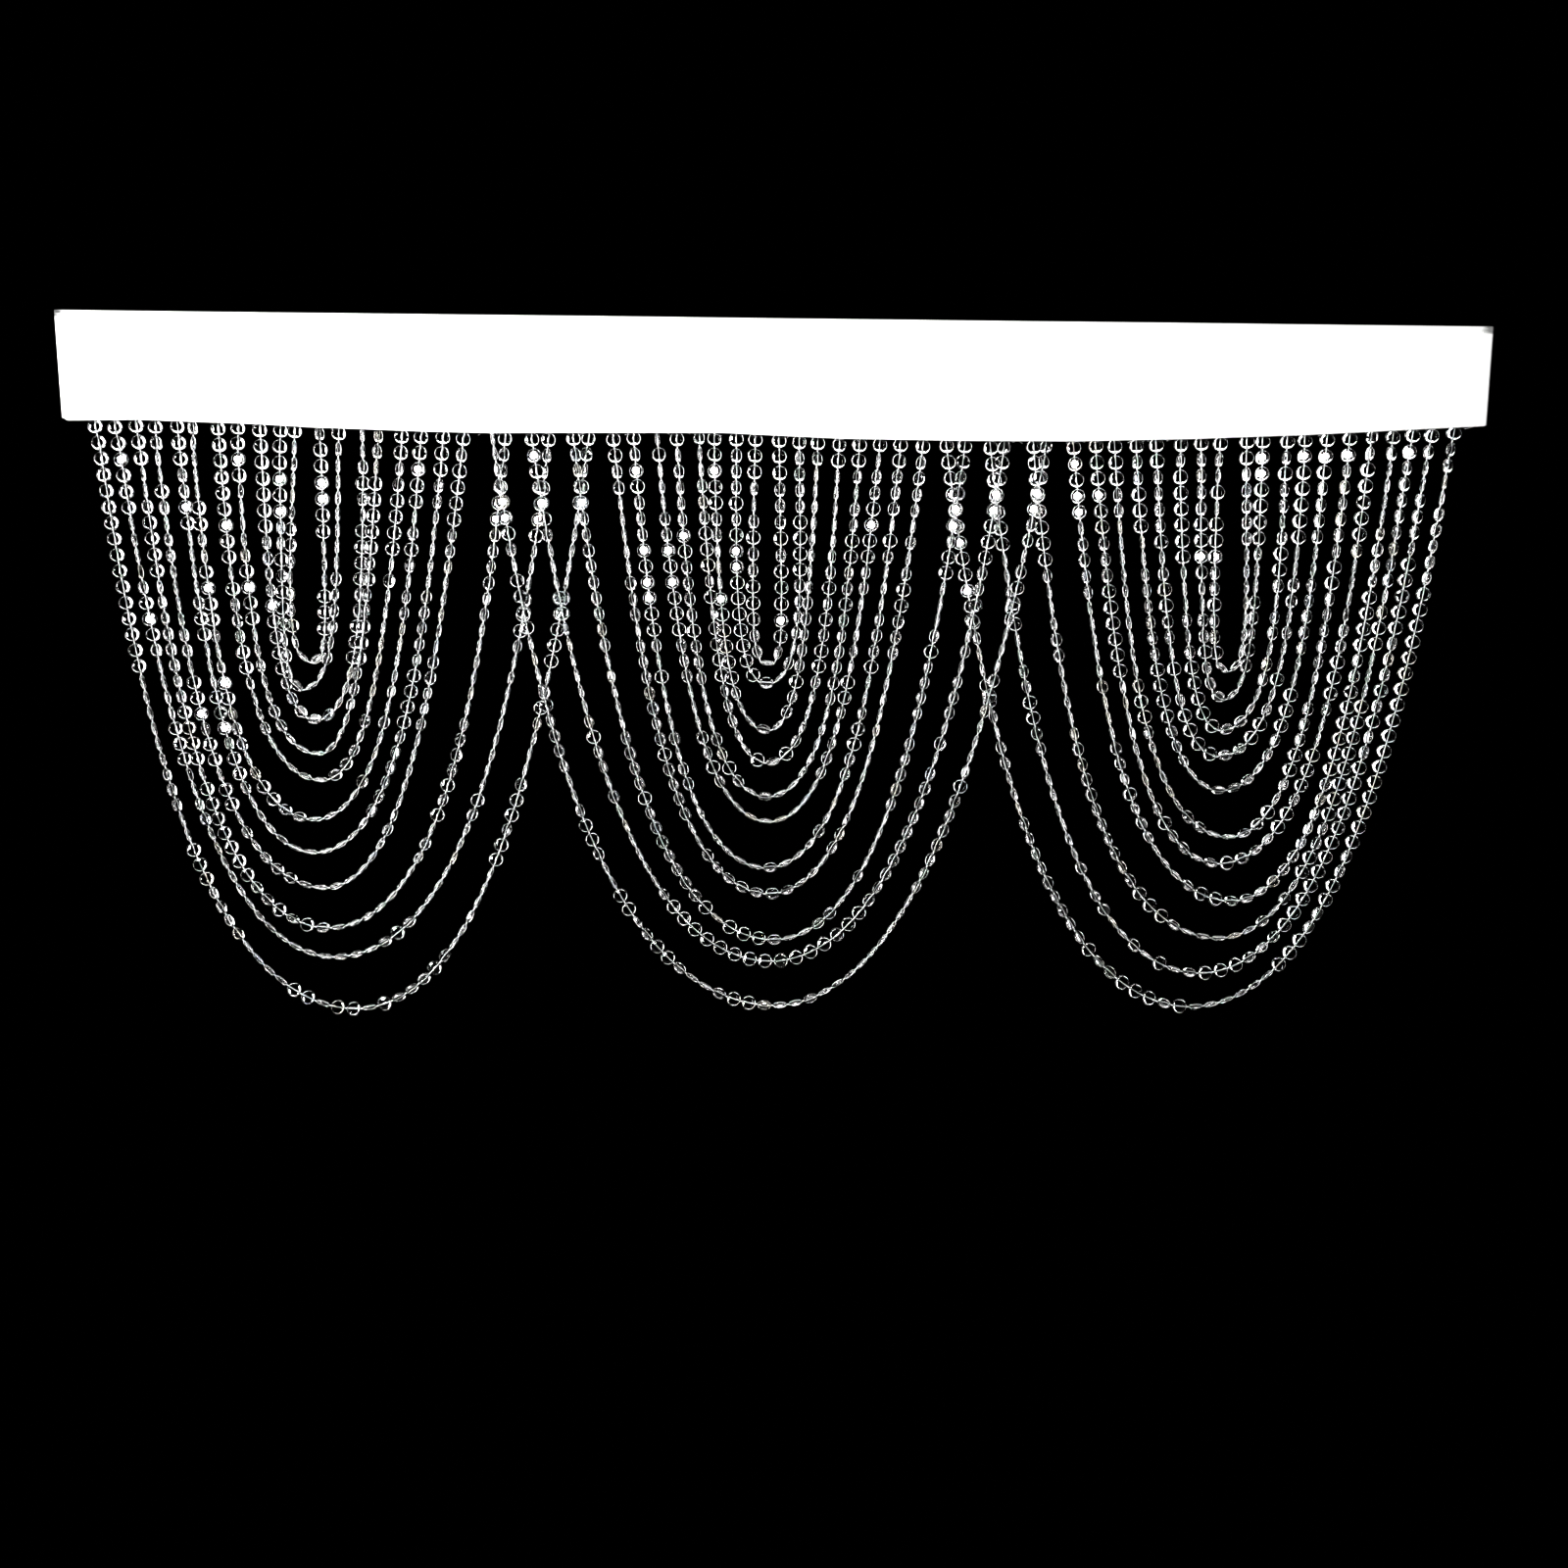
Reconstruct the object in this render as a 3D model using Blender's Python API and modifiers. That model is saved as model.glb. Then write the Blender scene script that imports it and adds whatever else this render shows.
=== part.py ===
"""Beaded valance: a white heading band and three swags of eleven bead strings sewn to a tape behind it.

The origin is the middle of the band's top edge. +X is the viewer's right, the front faces -Y, +Z is up.
Each string is a plain four-sided strand here, as thick as its beads are, with both ends in the tape.
"""
import math
from collections import namedtuple

import bmesh
import bpy

MM = 0.001

EdgePoint = namedtuple("EdgePoint", "x z")
Wave = namedtuple("Wave", "height across start")
BeadString = namedtuple("BeadString", "left right low_x low_z left_full right_full")

# Heading band
BAND_HALF_WIDTH = 500.0 * MM
BAND_THICKNESS = 2.4 * MM
BAND_COLUMNS = 64
BAND_ROWS = 5
LEFT_SIDE_DRAWN_IN = 4.4 * MM
RIGHT_SIDE_DRAWN_IN = 2.2 * MM
CORNER_ROUND = 4.0 * MM

# The band's lower edge in millimetres, a row (x, z) for each place where it changes
LOWER_EDGE_MM = (
    (-500, -76.5),
    (-444, -75.0),
    (-362, -77.0),
    (-321, -79.0),
    (-240, -81.0),
    (-198, -81.5),
    (-33, -79.5),
    (49, -82.5),
    (131, -83.0),
    (213, -82.5),
    (295, -80.0),
    (377, -76.0),
    (418, -73.5),
    (500, -68.5),
)

# The cloth sways a little out of its plane, more at its free lower edge than at its top
SWAY = (
    Wave(height=1.1 * MM, across=2.3, start=0.6),
    Wave(height=0.6 * MM, across=5.2, start=2.1),
)
SWAY_SHARE_AT_TOP = 0.3
SWAY_FULL_DEPTH = 80.0 * MM

# Tape that the strings are sewn to, behind the band
TAPE_GAP = 0.4 * MM
TAPE_THICKNESS = 1.6 * MM
TAPE_HEIGHT = 12.0 * MM
TAPE_ABOVE_EDGE = 3.5 * MM
TAPE_LEFT = -487.0 * MM
TAPE_RIGHT = 488.0 * MM
TAPE_ROWS = 1

# Strings
STRAND_HALF_WIDTH = 3.4 * MM
STRAND_HALF_DEPTH = 2.0 * MM
STRAND_BACK = 3.9 * MM
ROOT_ABOVE_EDGE = 9.0 * MM
LIFT_RUN = 22.0 * MM
TIGHTEST_BEND = 10.5 * MM
NECK_POWER = 0.4
ROOT_STEPS = 4
LOOP_STEPS = 22
BEND_SHARE = 0.55
SIDE_SAMPLES = 240

# How far each tier, from the outermost in, hangs behind the strings' middle plane.
# The outer three tiers of neighbouring swags cross, so the middle swag passes in front there.
SIDE_SWAG_LIFT_MM = (2.7, 2.7, 2.7, -1.2, 1.2, -1.2, 1.2, -2.3, 2.3, -2.3, 2.3)
MIDDLE_SWAG_LIFT_MM = (-2.7, -2.7, -2.7, 1.2, -1.2, 1.2, -1.2, 2.3, -2.3, 2.3, -2.3)

# A BeadString row for each string in millimetres, outermost first: where its two ends meet the
# band's edge, its lowest point, and how much fuller than a plain chain curve its two sides hang
LEFT_SWAG_MM = (
    (-476.0, -127.5, -296.0, -491.0, 3.5, -1.5),
    (-462.5, -155.5, -311.0, -453.5, -1.5, 3.0),
    (-447.5, -186.5, -315.5, -432.5, 1.5, 3.5),
    (-434.0, -215.5, -316.5, -403.0, 2.5, -2.5),
    (-418.5, -230.0, -323.5, -378.0, 1.0, 1.0),
    (-407.5, -245.5, -323.5, -354.0, 3.5, 1.5),
    (-389.5, -259.0, -318.5, -326.0, 4.0, -1.5),
    (-375.5, -275.5, -320.0, -307.0, 3.5, -1.0),
    (-360.0, -287.5, -322.5, -283.0, 1.0, 4.0),
    (-345.0, -304.0, -330.0, -261.0, -3.0, 1.0),
    (-334.5, -318.0, -324.5, -241.5, 1.0, -3.5),
)
MIDDLE_SWAG_MM = (
    (-198.0, 193.5, 4.0, -484.0, 4.0, -2.5),
    (-170.5, 164.0, 1.5, -452.0, 0.5, 0.5),
    (-141.0, 136.0, 3.5, -436.5, 1.0, -0.5),
    (-113.0, 106.5, 0.0, -404.0, 0.0, 0.0),
    (-98.5, 90.5, -2.0, -385.0, 1.5, 1.0),
    (-82.0, 76.0, 0.0, -352.0, -0.5, 0.0),
    (-68.0, 61.5, -1.5, -334.0, 1.0, 2.5),
    (-52.5, 47.0, -2.0, -310.0, -1.0, 2.5),
    (-41.5, 32.0, -2.0, -286.5, 2.5, -0.5),
    (-25.5, 18.0, -2.5, -253.5, 0.5, 3.0),
    (-12.0, 4.0, -1.5, -239.5, -3.0, -3.5),
)
RIGHT_SWAG_MM = (
    (120.0, 478.5, 303.5, -482.5, 1.0, 2.5),
    (151.0, 463.0, 309.5, -458.0, 0.5, 1.0),
    (181.5, 449.5, 322.5, -432.5, 3.5, -1.0),
    (209.5, 435.5, 330.0, -405.0, 3.0, -0.5),
    (225.0, 420.5, 321.0, -378.5, -0.5, 3.0),
    (238.5, 405.0, 327.0, -359.0, 3.0, 0.0),
    (253.5, 389.0, 321.0, -326.0, -0.5, 3.5),
    (267.5, 373.0, 318.0, -301.5, -0.5, 5.0),
    (285.0, 360.5, 320.5, -283.0, -1.0, 5.5),
    (299.5, 343.0, 320.5, -260.5, -3.0, -1.0),
    (313.5, 331.5, 323.5, -240.5, -3.5, -1.5),
)
SWAGS = (
    (LEFT_SWAG_MM, SIDE_SWAG_LIFT_MM),
    (MIDDLE_SWAG_MM, MIDDLE_SWAG_LIFT_MM),
    (RIGHT_SWAG_MM, SIDE_SWAG_LIFT_MM),
)


def clear_scene():
    for item in list(bpy.data.objects):
        bpy.data.objects.remove(item, do_unlink=True)


def new_collection(name):
    collection = bpy.data.collections.new(name)
    bpy.context.scene.collection.children.link(collection)
    return collection


def plain_material(name, color, roughness, metallic=0.0):
    material = bpy.data.materials.new(name)
    material.use_nodes = True
    shader = material.node_tree.nodes["Principled BSDF"]
    shader.inputs["Base Color"].default_value = (*color, 1.0)
    shader.inputs["Roughness"].default_value = roughness
    shader.inputs["Metallic"].default_value = metallic
    return material


def smooth_step(value):
    value = min(max(value, 0.0), 1.0)
    return value * value * (3.0 - 2.0 * value)


def lower_edge(x):
    """Height of the band's lower edge at x."""
    edge = [EdgePoint(x_mm * MM, z_mm * MM) for x_mm, z_mm in LOWER_EDGE_MM]
    for before, after in zip(edge, edge[1:]):
        if x <= after.x:
            share = max(x - before.x, 0.0) / (after.x - before.x)
            return before.z + (after.z - before.z) * share
    return edge[-1].z


def sway(x, z):
    """How far the cloth stands behind its plane at a place."""
    share = SWAY_SHARE_AT_TOP + (1.0 - SWAY_SHARE_AT_TOP) * min(-z / SWAY_FULL_DEPTH, 1.0)
    turn = math.pi * (x / BAND_HALF_WIDTH)
    return share * sum(wave.height * math.sin(wave.across * turn + wave.start) for wave in SWAY)


def cloth_sheet(name, place, columns, rows, thickness, middle_depth, material, collection):
    """A sheet whose place(u, v) gives x and z for u across and v down, thickened evenly."""
    mesh = bpy.data.meshes.new(name)
    sheet = bpy.data.objects.new(name, mesh)
    collection.objects.link(sheet)
    grid = bmesh.new()
    bmesh.ops.create_grid(grid, x_segments=columns, y_segments=rows, size=0.5)
    for vertex in grid.verts:
        u = vertex.co.x + 0.5
        v = vertex.co.y + 0.5
        x, z = place(u, 1.0 - v)
        vertex.co = (x, middle_depth + sway(x, z), z)
    bmesh.ops.recalc_face_normals(grid, faces=grid.faces)
    grid.to_mesh(mesh)
    grid.free()
    mesh.materials.append(material)
    solid = sheet.modifiers.new("Thickness", "SOLIDIFY")
    solid.thickness = thickness
    solid.offset = 0.0
    solid.use_even_offset = True
    return sheet


def band_place(u, v):
    """The band's outline: straight along the top, drawn in at the sides and rounded at the corners."""
    x = (2.0 * u - 1.0) * BAND_HALF_WIDTH
    drawn_in = LEFT_SIDE_DRAWN_IN if x < 0.0 else RIGHT_SIDE_DRAWN_IN
    x *= 1.0 - v * drawn_in / BAND_HALF_WIDTH
    z = v * lower_edge(x)
    to_side = BAND_HALF_WIDTH - drawn_in - abs(x)
    if v == 1.0 and to_side < CORNER_ROUND:
        z += CORNER_ROUND * (1.0 - smooth_step(to_side / CORNER_ROUND)) * 0.5
    return x, z


def tape_place(u, v):
    """The tape's outline, which keeps its height above the band's lower edge."""
    x = TAPE_LEFT + (TAPE_RIGHT - TAPE_LEFT) * u
    z = lower_edge(x) + TAPE_ABOVE_EDGE + TAPE_HEIGHT * (1.0 - v)
    return x, z


def chain_radius(reach, rise):
    """Size of the chain curve that moves sideways by reach over its rise, found by halving."""
    low = 0.01 * MM
    high = 10.0
    for _ in range(80):
        middle = math.sqrt(low * high)
        if middle * math.acosh(1.0 + rise / middle) > reach:
            high = middle
        else:
            low = middle
    return low


def string_side(reach, rise, full):
    """One side of a string as (sideways, up) from its lowest point.

    A bead string can't bend more tightly than its beads let it, so a narrow loop is as wide
    as TIGHTEST_BEND gives at its foot and is drawn in towards its end.
    """
    radius = max(chain_radius(reach, rise), TIGHTEST_BEND)
    widest = radius * math.acosh(1.0 + rise / radius)
    points = []
    for step in range(SIDE_SAMPLES + 1):
        share = (step / SIDE_SAMPLES) ** 2
        up = rise * share
        neck = 1.0 - (1.0 - reach / widest) * share ** NECK_POWER
        sideways = radius * math.acosh(1.0 + up / radius) * neck
        sideways += full * math.sin(math.pi * math.sqrt(share))
        points.append((sideways, up))
    return points


def string_path(row):
    """Points (x, z) of a string from its left end in the tape, round its loop, to its right end."""
    place = BeadString(*[value * MM for value in row])
    left_rise = lower_edge(place.left) + ROOT_ABOVE_EDGE - place.low_z
    right_rise = lower_edge(place.right) + ROOT_ABOVE_EDGE - place.low_z
    left_side = string_side(place.low_x - place.left, left_rise, place.left_full)
    right_side = string_side(place.right - place.low_x, right_rise, place.right_full)
    path = [(place.low_x - sideways, place.low_z + up) for sideways, up in reversed(left_side)]
    path += [(place.low_x + sideways, place.low_z + up) for sideways, up in right_side[1:]]
    return path


def even_steps(path, steps, bend_share):
    """Fewer points of a path, closer together where it bends when bend_share is over zero."""
    bend_length = bend_share * path_length(path) / math.pi
    turned = [0.0]
    for index in range(1, len(path)):
        bend = 0.0
        if index > 1:
            bend = turn_between(path[index - 2], path[index - 1], path[index])
        step_length = math.dist(path[index - 1], path[index])
        turned.append(turned[-1] + step_length + bend * bend_length)
    chosen = []
    index = 0
    for step in range(steps + 1):
        goal = turned[-1] * step / steps
        while index < len(path) - 2 and turned[index + 1] < goal:
            index += 1
        part = (goal - turned[index]) / (turned[index + 1] - turned[index])
        chosen.append([a + (b - a) * part for a, b in zip(path[index], path[index + 1])])
    return chosen


def turn_between(first, second, third):
    """The angle that a path turns through at its second point."""
    before = math.atan2(second[1] - first[1], second[0] - first[0])
    after = math.atan2(third[1] - second[1], third[0] - second[0])
    return abs((after - before + math.pi) % (2.0 * math.pi) - math.pi)


def strand_points(path):
    """A strand's points: short steps where it leaves the tape, then fewer round the loop."""
    hanging = [index for index, (x, z) in enumerate(path) if lower_edge(x) - z > LIFT_RUN]
    first = hanging[0]
    last = hanging[-1]
    head = even_steps(path[:first + 1], ROOT_STEPS, 0.0)
    loop = even_steps(path[first:last + 1], LOOP_STEPS, BEND_SHARE)
    tail = even_steps(path[last:], ROOT_STEPS, 0.0)
    return head + loop[1:-1] + tail


def path_length(path):
    return sum(math.dist(a, b) for a, b in zip(path, path[1:]))


def strand_depth(x, z, lift):
    """How far back a strand hangs: close behind the band, then in its own layer."""
    drop = smooth_step((lower_edge(x) - z) / LIFT_RUN)
    return STRAND_BACK + sway(x, z) * (1.0 - drop) + lift * drop


def strand(name, path, lift, collection):
    """A flattened four-sided tube along a path, made a closed mesh so that it can be joined."""
    curve = bpy.data.curves.new(name, "CURVE")
    curve.dimensions = "3D"
    curve.twist_mode = "MINIMUM"
    curve.bevel_depth = STRAND_HALF_WIDTH
    curve.bevel_resolution = 0
    curve.use_fill_caps = True
    spline = curve.splines.new("POLY")
    spline.points.add(len(path) - 1)
    for point, (x, z) in zip(spline.points, path):
        point.co = (x, 0.0, z, 1.0)
    tube = bpy.data.objects.new(name, curve)
    collection.objects.link(tube)
    bpy.context.view_layer.update()
    evaluated = tube.evaluated_get(bpy.context.evaluated_depsgraph_get())
    mesh = bpy.data.meshes.new_from_object(evaluated)
    bpy.data.objects.remove(tube, do_unlink=True)
    for vertex in mesh.vertices:
        x, y, z = vertex.co
        flattened = y * STRAND_HALF_DEPTH / STRAND_HALF_WIDTH
        vertex.co.y = strand_depth(x, z, lift) + flattened
    return mesh


def join_meshes(name, meshes, material, collection):
    """One object of many closed meshes, with loose caps welded on."""
    joined = bmesh.new()
    for mesh in meshes:
        joined.from_mesh(mesh)
        bpy.data.meshes.remove(mesh)
    bmesh.ops.remove_doubles(joined, verts=joined.verts, dist=0.01 * MM)
    bmesh.ops.recalc_face_normals(joined, faces=joined.faces)
    mesh = bpy.data.meshes.new(name)
    joined.to_mesh(mesh)
    joined.free()
    mesh.materials.clear()
    mesh.materials.append(material)
    item = bpy.data.objects.new(name, mesh)
    collection.objects.link(item)
    return item


def build_band(collection):
    cloth = plain_material("White band cloth", (0.86, 0.86, 0.84), 0.85)
    return cloth_sheet("heading_band", band_place, BAND_COLUMNS, BAND_ROWS, BAND_THICKNESS, 0.0,
                       cloth, collection)


def build_bead_strings(collection, cutters):
    """The tape with all thirty-three strands fused into it by their roots."""
    clear = plain_material("Clear beads", (0.80, 0.84, 0.84), 0.05)
    depth = (BAND_THICKNESS + TAPE_THICKNESS) / 2.0 + TAPE_GAP
    tape = cloth_sheet("bead_strings", tape_place, BAND_COLUMNS, TAPE_ROWS, TAPE_THICKNESS, depth,
                       clear, collection)
    tubes = []
    for rows, lifts in SWAGS:
        for row, lift in zip(rows, lifts):
            points = strand_points(string_path(row))
            tubes.append(strand("strand", points, lift * MM, cutters))
    strands = join_meshes("strands", tubes, clear, cutters)
    strands.hide_render = True
    strands.display_type = "WIRE"
    union = tape.modifiers.new("Strands", "BOOLEAN")
    union.operation = "UNION"
    union.solver = "EXACT"
    union.object = strands
    return tape


def main():
    clear_scene()
    parts = new_collection("Beaded valance")
    cutters = new_collection("Cutters")
    build_band(parts)
    build_bead_strings(parts, cutters)


main()
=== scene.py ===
"""Looks of the beaded valance: cloth band, sewn tape, nylon lines and faceted coin beads."""

import math
from collections import namedtuple

import bmesh
import bpy
import numpy as np
from mathutils import Matrix, Vector


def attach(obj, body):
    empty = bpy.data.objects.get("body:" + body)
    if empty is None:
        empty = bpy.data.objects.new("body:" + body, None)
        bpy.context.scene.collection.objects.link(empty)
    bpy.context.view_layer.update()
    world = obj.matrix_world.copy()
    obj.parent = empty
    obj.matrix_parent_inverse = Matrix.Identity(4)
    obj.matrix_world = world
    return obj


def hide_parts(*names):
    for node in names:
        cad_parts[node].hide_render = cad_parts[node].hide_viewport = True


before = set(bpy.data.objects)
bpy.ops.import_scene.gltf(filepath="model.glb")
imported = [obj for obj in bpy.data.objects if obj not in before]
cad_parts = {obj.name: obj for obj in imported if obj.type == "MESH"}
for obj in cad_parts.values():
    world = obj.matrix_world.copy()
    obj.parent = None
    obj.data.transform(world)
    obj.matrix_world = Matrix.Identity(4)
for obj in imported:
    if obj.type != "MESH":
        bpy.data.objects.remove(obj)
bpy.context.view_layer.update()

MM = 0.001
FRONT = np.array((0.0, -1.0, 0.0))

Wave = namedtuple("Wave", "height across start")
BeadString = namedtuple("BeadString", "left right low_x low_z left_full right_full")
BeadRing = namedtuple("BeadRing", "radius half_thickness sides")

# Camera and lights
PICTURE_PX = 1600.0
FOCAL_PX = 2000.0
SENSOR_MM = 36.0
CAMERA_PLACE = (0.0106, -1.3844, -0.2100)
CAMERA_DOWN = math.radians(4.744)
CAMERA_ROLL = math.radians(0.6635)
LIGHTS_AIM = (0.0, 0.0, -0.25)
STRAIGHT_DOWN = (0.0, 0.0, 0.0)
SOFTBOX_PLACE = (-0.95, -1.40, 0.10)
SOFTBOX_SIZE = (0.5, 1.2)
SOFTBOX_POWER = 33.0
SOFTBOX_SPREAD = math.radians(130.0)
BAND_STRIP_PLACE = (0.0, 0.05, -0.062)
BAND_STRIP_SIZE = (0.97, 0.04)
BAND_STRIP_POWER = 0.6
BAND_STRIP_SPREAD = math.radians(140.0)
STRIPS_BEHIND = 2.6
SIDE_STRIP_ACROSS = 2.05
SIDE_STRIP_HEIGHT = -0.4
SIDE_STRIP_SIZE = (0.6, 2.6)
SIDE_STRIP_POWER = 15.0
TOP_STRIP_HEIGHT = 1.3
LOW_STRIP_HEIGHT = -2.5
LEVEL_STRIP_SIZE = (3.6, 0.4)
LEVEL_STRIP_POWER = 12.0
EXPOSURE = 0.5
GAMMA = 0.7
FLOOR_HEIGHT = -1.25
FLOOR_HALF_WIDTH = 2.2
FLOOR_FRONT = -2.6
FLOOR_BACK = 0.35

# Heading band: one cloth folded double along its top, with its foot turned up inside
BAND_HALF_WIDTH = 500.0 * MM
BAND_HALF_DEPTH = 1.2 * MM
CLOTH_THICKNESS = 0.5 * MM
OUTER_LAYER = 0.95 * MM
INNER_LAYER = 0.35 * MM
TURNED_IN = 10.0 * MM
LEFT_SIDE_DRAWN_IN = 4.4 * MM
RIGHT_SIDE_DRAWN_IN = 2.2 * MM
LEFT_CORNER_ROUND = 4.0 * MM
RIGHT_CORNER_ROUND = 0.8 * MM
SIDE_HEM = 9.0 * MM
SIDE_HEM_STEP = 0.25 * MM
SIDE_HEM_RUN = 1.2 * MM
SIDE_HEM_COLUMNS = 12
MIDDLE_COLUMNS = 221
# Painted shade at both ends of the top fold: how wide, how tall, how wispy and how dark the darkened
# corners of the cloth's colour are
CREASE_WIDTH = 12.0 * MM
CREASE_HEIGHT = 6.0 * MM
CREASE_WISPS = (60.0, 60.0, 480.0)
CREASE_SOLID = 1.35
CREASE_EDGE = 2.5
CREASE_CONTRAST = 2.6
CREASE_FADE = -0.3
CREASE_STRONGEST = 0.83
CREASE_TO_RIGHT = -0.2

# The band's lower edge in millimetres, a row (x, z) for each place where it changes
LOWER_EDGE_MM = (
    (-500, -76.5),
    (-444, -75.0),
    (-362, -77.0),
    (-321, -79.0),
    (-240, -81.0),
    (-198, -81.5),
    (-33, -79.5),
    (49, -82.5),
    (131, -83.0),
    (213, -82.5),
    (295, -80.0),
    (377, -76.0),
    (418, -73.5),
    (500, -68.5),
)
SWAY = (
    Wave(height=1.1 * MM, across=2.3, start=0.6),
    Wave(height=0.6 * MM, across=5.2, start=2.1),
)
SWAY_SHARE_AT_TOP = 0.3
SWAY_FULL_DEPTH = 80.0 * MM

# Small puckers that the sewing draws into the band's foot
PUCKERS = (
    Wave(height=0.16 * MM, across=37.0, start=0.4),
    Wave(height=0.10 * MM, across=83.0, start=1.9),
    Wave(height=0.06 * MM, across=151.0, start=0.2),
)
PUCKER_ABOVE_EDGE = 8.0 * MM
PUCKER_REACH = 16.0 * MM

# Tape behind the band
TAPE_HEIGHT = 12.0 * MM
TAPE_ABOVE_EDGE = 3.5 * MM
TAPE_LEFT = -487.0 * MM
TAPE_RIGHT = 488.0 * MM
TAPE_END_BARE = 3.0 * MM
TAPE_FRONT = 1.6 * MM
TAPE_THICKNESS = 1.2 * MM

# Stitching
STITCH_LENGTH = 2.7 * MM
STITCH_PITCH = 3.3 * MM
STITCH_RADIUS = 0.15 * MM
STITCH_ARCH = 0.16 * MM
PINCH_DEPTH = 0.07 * MM
PINCH_REACH = 1.1 * MM
FOOT_ROW = 5.2 * MM
TAPE_ROW = 13.8 * MM
TOP_ROW = 2.8 * MM
SIDE_ROW = 7.0 * MM
THREAD_ENDS = 70
THREAD_END_RADIUS = 0.09 * MM
THREAD_END_LENGTHS = (0.8 * MM, 3.6 * MM)
TACK_STITCHES = 5
TACK_WIDTH = 3.2 * MM
TACK_ARCH = 0.95 * MM
TACK_FIRST = 0.8 * MM
TACK_PITCH = 1.05 * MM
TACK_SLANT = 0.25 * MM

# Strings
BEAD_HOLE_RADIUS = 0.7 * MM
BEAD_ACROSS = 1.03
BEAD_SPACE = 1.25 * MM
FIRST_BEAD_BELOW = 2.8 * MM
SLIDE = 0.12 * MM
LINE_RADIUS = 0.46 * MM
LINE_SIDES = 6
STRAND_BACK = 3.9 * MM
LINE_ROOT_BACK = 3.2 * MM
LINE_INTO_TAPE = 0.6 * MM
LINE_END_STEPS = np.array([0.0, 3.0, 5.5]) * MM
ROOT_ABOVE_EDGE = 9.0 * MM
LIFT_RUN = 22.0 * MM
TIGHTEST_BEND = 10.5 * MM
NECK_POWER = 0.4
SIDE_SAMPLES = 400

# A bead from its table to its rim in millimetres: eight crown facets, then a rounded edge
BEAD_RINGS_MM = (
    BeadRing(3.0, 1.55, 8),
    BeadRing(4.3, 1.1, 16),
    BeadRing(4.8, 0.65, 16),
    BeadRing(5.0, 0.25, 16),
)
ROUNDED_FROM = 4.3 * MM
BEAD_RADIUS = BEAD_RINGS_MM[-1].radius * MM

CLEAR_TINT = (0.985, 0.99, 0.988)
GREEN_TINT = (0.94, 0.99, 0.955)
AMBER_TINT = (0.99, 0.975, 0.93)
BLUE_TINT = (0.94, 0.965, 0.99)

# How far each tier, from the outermost in, hangs behind the strings' middle plane
SIDE_SWAG_LIFT_MM = (2.7, 2.7, 2.7, -1.2, 1.2, -1.2, 1.2, -2.3, 2.3, -2.3, 2.3)
MIDDLE_SWAG_LIFT_MM = (-2.7, -2.7, -2.7, 1.2, -1.2, 1.2, -1.2, 2.3, -2.3, 2.3, -2.3)

# A BeadString row for each string in millimetres, outermost first
LEFT_SWAG_MM = (
    (-476.0, -127.5, -296.0, -491.0, 3.5, -1.5),
    (-462.5, -155.5, -311.0, -453.5, -1.5, 3.0),
    (-447.5, -186.5, -315.5, -432.5, 1.5, 3.5),
    (-434.0, -215.5, -316.5, -403.0, 2.5, -2.5),
    (-418.5, -230.0, -323.5, -378.0, 1.0, 1.0),
    (-407.5, -245.5, -323.5, -354.0, 3.5, 1.5),
    (-389.5, -259.0, -318.5, -326.0, 4.0, -1.5),
    (-375.5, -275.5, -320.0, -307.0, 3.5, -1.0),
    (-360.0, -287.5, -322.5, -283.0, 1.0, 4.0),
    (-345.0, -304.0, -330.0, -261.0, -3.0, 1.0),
    (-334.5, -318.0, -324.5, -241.5, 1.0, -3.5),
)
MIDDLE_SWAG_MM = (
    (-198.0, 193.5, 4.0, -484.0, 4.0, -2.5),
    (-170.5, 164.0, 1.5, -452.0, 0.5, 0.5),
    (-141.0, 136.0, 3.5, -436.5, 1.0, -0.5),
    (-113.0, 106.5, 0.0, -404.0, 0.0, 0.0),
    (-98.5, 90.5, -2.0, -385.0, 1.5, 1.0),
    (-82.0, 76.0, 0.0, -352.0, -0.5, 0.0),
    (-68.0, 61.5, -1.5, -334.0, 1.0, 2.5),
    (-52.5, 47.0, -2.0, -310.0, -1.0, 2.5),
    (-41.5, 32.0, -2.0, -286.5, 2.5, -0.5),
    (-25.5, 18.0, -2.5, -253.5, 0.5, 3.0),
    (-12.0, 4.0, -1.5, -239.5, -3.0, -3.5),
)
RIGHT_SWAG_MM = (
    (120.0, 478.5, 303.5, -482.5, 1.0, 2.5),
    (151.0, 463.0, 309.5, -458.0, 0.5, 1.0),
    (181.5, 449.5, 322.5, -432.5, 3.5, -1.0),
    (209.5, 435.5, 330.0, -405.0, 3.0, -0.5),
    (225.0, 420.5, 321.0, -378.5, -0.5, 3.0),
    (238.5, 405.0, 327.0, -359.0, 3.0, 0.0),
    (253.5, 389.0, 321.0, -326.0, -0.5, 3.5),
    (267.5, 373.0, 318.0, -301.5, -0.5, 5.0),
    (285.0, 360.5, 320.5, -283.0, -1.0, 5.5),
    (299.5, 343.0, 320.5, -260.5, -3.0, -1.0),
    (313.5, 331.5, 323.5, -240.5, -3.5, -1.5),
)

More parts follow.
